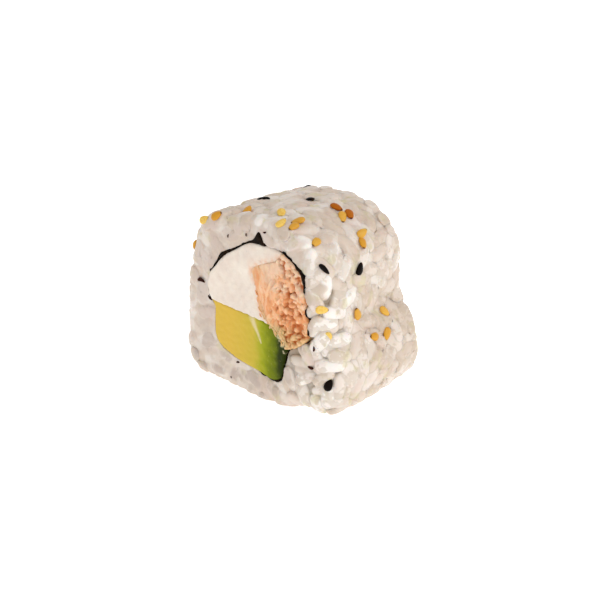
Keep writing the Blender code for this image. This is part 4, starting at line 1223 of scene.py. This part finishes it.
def rice_look():
    """Moist rice: pinkish and olive patches, painted shade in the seams and hollows, a duller cut end, and
    painted shade towards the bottom of the cut end.
    """
    look = Look("moist_rice", (0.64, 0.53, 0.44), 0.42, 0.45, (1.0, 0.72, 0.5), 1.0 * MM, 0.6)
    look.over(look.span(look.mark("tone"), 0.0, 1.0), (0.84, 0.79, 0.74))
    look.over(look.span(look.noise(5.0 * MM), 0.5, 0.68, 0.0, 0.5), (0.66, 0.50, 0.42))
    olive = look.noise(3.5 * MM, 2.0, 0.5, (1.0, 1.3, 1.0))
    look.over(look.span(olive, 0.56, 0.7, 0.0, 0.55), (0.60, 0.54, 0.30))
    look.over(look.span(look.mark("cut"), 0.2, 1.0, 0.0, 0.6), (0.56, 0.45, 0.39))
    # Painted shade: the cut end is darker towards the bottom
    low = look.span(look.axis("Z"), 3.0 * MM, 15.0 * MM, 0.5, 0.0)
    look.over(look.join(low, look.mark("cut"), "MULTIPLY"), (0.38, 0.31, 0.27))
    spot = look.join(look.span(look.noise(1.6 * MM), 0.6, 0.72), look.mark("cut"), "MULTIPLY")
    look.over(look.join(spot, 0.45, "MULTIPLY"), (0.30, 0.24, 0.20))
    # Painted shade along the seams between grains
    look.over(look.span(look.mark("seam_shade"), 0.2, 1.0, 0.0, 0.4), (0.45, 0.35, 0.24))
    # Painted shade in the hollows below the skin
    look.over(look.span(look.mark("depth"), 0.5, 1.4, 0.0, 0.95), (0.20, 0.14, 0.07))
    look.links.new(look.span(look.noise(1.2 * MM), 0.3, 0.7, 0.34, 0.52), look.shader.inputs["Roughness"])
    return look.done(look.noise(0.7 * MM, 4.0), 0.045 * MM)


def cheese_look():
    look = Look("soft_cheese", (0.84, 0.75, 0.65), 0.5, 0.35, (1.0, 0.85, 0.7), 1.0 * MM, 0.35)
    look.over(look.span(look.noise(4.0 * MM), 0.35, 0.7), (0.79, 0.68, 0.59))
    # Grey flecks: painted shade of small pits
    look.over(look.span(look.noise(1.1 * MM), 0.62, 0.74, 0.0, 0.3), (0.52, 0.46, 0.42))
    stain = look.join(look.mark("stain"), look.span(look.noise(1.3 * MM), 0.3, 0.62), "MULTIPLY")
    look.over(look.join(stain, 0.8, "MULTIPLY"), (0.82, 0.47, 0.29))
    return look.done(look.join(look.noise(0.5 * MM, 4.0), look.noise(2.0 * MM, 2.0)), 0.08 * MM)


def salmon_look():
    """Flaked salmon: paler at the top, streaked along its fibres, yellow-brown low down, with painted shade
    in its gaps.
    """
    look = Look("flaked_salmon", (0.76, 0.30, 0.10), 0.38, 0.4, (1.0, 0.45, 0.25), 0.6 * MM, 0.5)
    look.over(look.span(look.mark("tone"), 0.0, 1.0), (0.88, 0.50, 0.26))
    height = look.join(look.join(look.axis("Z"), 27.0 * MM, "SUBTRACT"), 30.0, "MULTIPLY")
    look.over(look.span(look.join(look.noise(3.5 * MM), height), 0.48, 0.7, 0.0, 0.75), (0.80, 0.59, 0.42))
    fibre = look.noise(0.5 * MM, 3.0, 0.6, (1.0, 1.0, 0.25))
    look.over(look.span(fibre, 0.55, 0.75, 0.0, 0.7), (0.90, 0.67, 0.47))
    low = look.join(look.axis("Z"), look.join(look.noise(2.0 * MM), 3.0 * MM, "MULTIPLY"))
    look.over(look.span(low, 20.0 * MM, 23.2 * MM, 0.8, 0.0), (0.70, 0.46, 0.20))
    # Painted shade in the gaps between flakes, darker the deeper they go
    look.over(look.span(look.mark("sunk_shade"), -0.75, 0.0, 0.9, 0.0), (0.66, 0.20, 0.04))
    look.over(look.span(look.mark("sunk_shade"), -1.5, -0.85, 1.0, 0.0), (0.30, 0.08, 0.015))
    return look.done(look.noise(0.35 * MM, 4.0, 0.6, (1.0, 1.0, 0.4)), 0.08 * MM)


def avocado_look():
    """Avocado that goes from yellow at the left to dark green at the right, smeared with cheese."""
    look = Look("avocado_flesh", (0.70, 0.47, 0.07), 0.45, 0.12, (1.0, 0.9, 0.2), 0.4 * MM, 0.07)
    wander = look.join(look.join(look.noise(5.0 * MM), 0.5, "SUBTRACT"), 5.0 * MM, "MULTIPLY")
    place = look.join(look.axis("X"), wander)
    for low, high, tint in (
        (-9.0, 3.0, (0.56, 0.45, 0.05)), (-0.5, 4.0, (0.34, 0.37, 0.012)),
        (2.6, 6.4, (0.13, 0.17, 0.002)), (5.8, 8.4, (0.022, 0.034, 0.001)),
    ):
        look.over(look.span(place, low * MM, high * MM), tint)
    look.over(look.span(look.noise(0.9 * MM, 4.0), 0.6, 0.75, 0.0, 0.25), (0.70, 0.60, 0.20))
    smear = look.span(look.mark("smear"), 0.05, 0.95, 0.0, 0.75)
    patchy = look.span(look.noise(0.8 * MM), 0.25, 0.55, 0.5, 1.0)
    look.over(look.join(smear, patchy, "MULTIPLY"), (0.78, 0.67, 0.42))
    return look.done(look.noise(0.6 * MM, 3.0, 0.6, (1.0, 1.0, 0.5)), 0.05 * MM)


def nori_look(name, dark, light):
    look = Look(name, dark, 0.6, gloss=0.04)
    look.over(look.span(look.noise(1.0 * MM), 0.4, 0.7), light)
    return look.done(look.noise(0.4 * MM, 4.0), 0.15 * MM)


def seed_look(kind, dull, bright, tip, gloss):
    look = Look(f"{kind}_sesame", dull, 0.38, 0.15, (1.0, 0.6, 0.2), 0.4 * MM, gloss)
    look.over(look.span(look.mark("tone"), 0.0, 1.0), bright)
    look.over(look.span(look.noise(0.5 * MM), 0.4, 0.7, 0.0, 0.45), dull)
    look.over(look.span(look.mark("end"), 0.72, 0.97), tip)
    return look.done(look.noise(0.25 * MM), 0.03 * MM)


def build_looks():
    return {
        "rice": rice_look(),
        "cream_cheese": cheese_look(),
        "salmon": salmon_look(),
        "avocado": avocado_look(),
        "nori": nori_look("seaweed", (0.005, 0.0022, 0.0008), (0.018, 0.008, 0.003)),
        # Dark scraps: partly seaweed, partly painted shade of crevices between grains
        "fleck": nori_look("seaweed_and_shade_scrap", (0.02, 0.004, 0.002), (0.06, 0.016, 0.008)),
        "golden": seed_look("golden", (0.64, 0.30, 0.02), (0.84, 0.58, 0.13), (0.12, 0.04, 0.005), 0.25),
        "brown": seed_look("brown", (0.42, 0.11, 0.002), (0.62, 0.22, 0.01), (0.10, 0.02, 0.003), 0.12),
        "black": seed_look(
            "black", (0.003, 0.0012, 0.0005), (0.008, 0.003, 0.001), (0.02, 0.008, 0.003), 0.06,
        ),
    }


def build_studio():
    """A white floor and a bright even room, with a soft light from the upper right."""
    scene = bpy.context.scene
    scene.world = bpy.data.worlds.new("room")
    scene.world.use_nodes = True
    background = scene.world.node_tree.nodes["Background"]
    background.inputs["Color"].default_value = ROOM_COLOUR
    background.inputs["Strength"].default_value = ROOM_LIGHT
    corners = [(x * FLOOR_REACH, y * FLOOR_REACH, 0) for x, y in ((-1, -1), (1, -1), (1, 1), (-1, 1))]
    floor = placed("floor", plain_mesh("floor", corners, [(0, 1, 2, 3)]))
    paper = Look("white_floor", (0.66, 0.66, 0.66), 0.9)
    paper.over(paper.noise(0.05), (0.70, 0.70, 0.70))
    paper.links.new(paper.tint, paper.shader.inputs["Base Color"])
    paper.set("Emission Color", (1.0, 1.0, 1.0, 1.0))
    paper.set("Emission Strength", FLOOR_GLOW)
    floor.data.materials.append(paper.material)
    lamp = bpy.data.lights.new("window", "AREA")
    lamp.shape, lamp.size, lamp.energy = "DISK", WINDOW_SIZE, WINDOW_WATTS
    window = placed("window", lamp)
    window.location = WINDOW_PLACE
    window.rotation_euler = window.location.to_track_quat("Z", "Y").to_euler()
    scene.view_settings.view_transform = "Standard"


def build_camera():
    """The photograph's view: the near cut to the lower left, seen from a little above."""
    azimuth, elevation = math.radians(VIEW_AZIMUTH), math.radians(VIEW_ELEVATION)
    flat = math.cos(elevation)
    back = Vector((math.sin(azimuth) * flat, -math.cos(azimuth) * flat, math.sin(elevation)))
    right = Vector((math.cos(azimuth), math.sin(azimuth), 0))
    middle = Vector(SHIFT) + Vector((0, 0, VIEW_HEIGHT)) - right * VIEW_ASIDE - back.cross(right) * VIEW_LOWER
    made = bpy.data.cameras.new("camera")
    made.lens, made.clip_start = VIEW_LENS, 0.01
    camera = placed("camera", made)
    camera.location = middle + back * VIEW_DISTANCE
    camera.rotation_euler = back.to_track_quat("Z", "Y").to_euler()
    bpy.context.scene.camera = camera


looks = build_looks()
seeds, rice, ends = build_rice(looks)
build_seeds(seeds, rice, looks)
build_flecks(rice, looks)
build_sheet(looks, ends)
build_cheese(looks)
build_salmon(looks)
build_avocado(looks)
build_studio()
build_camera()
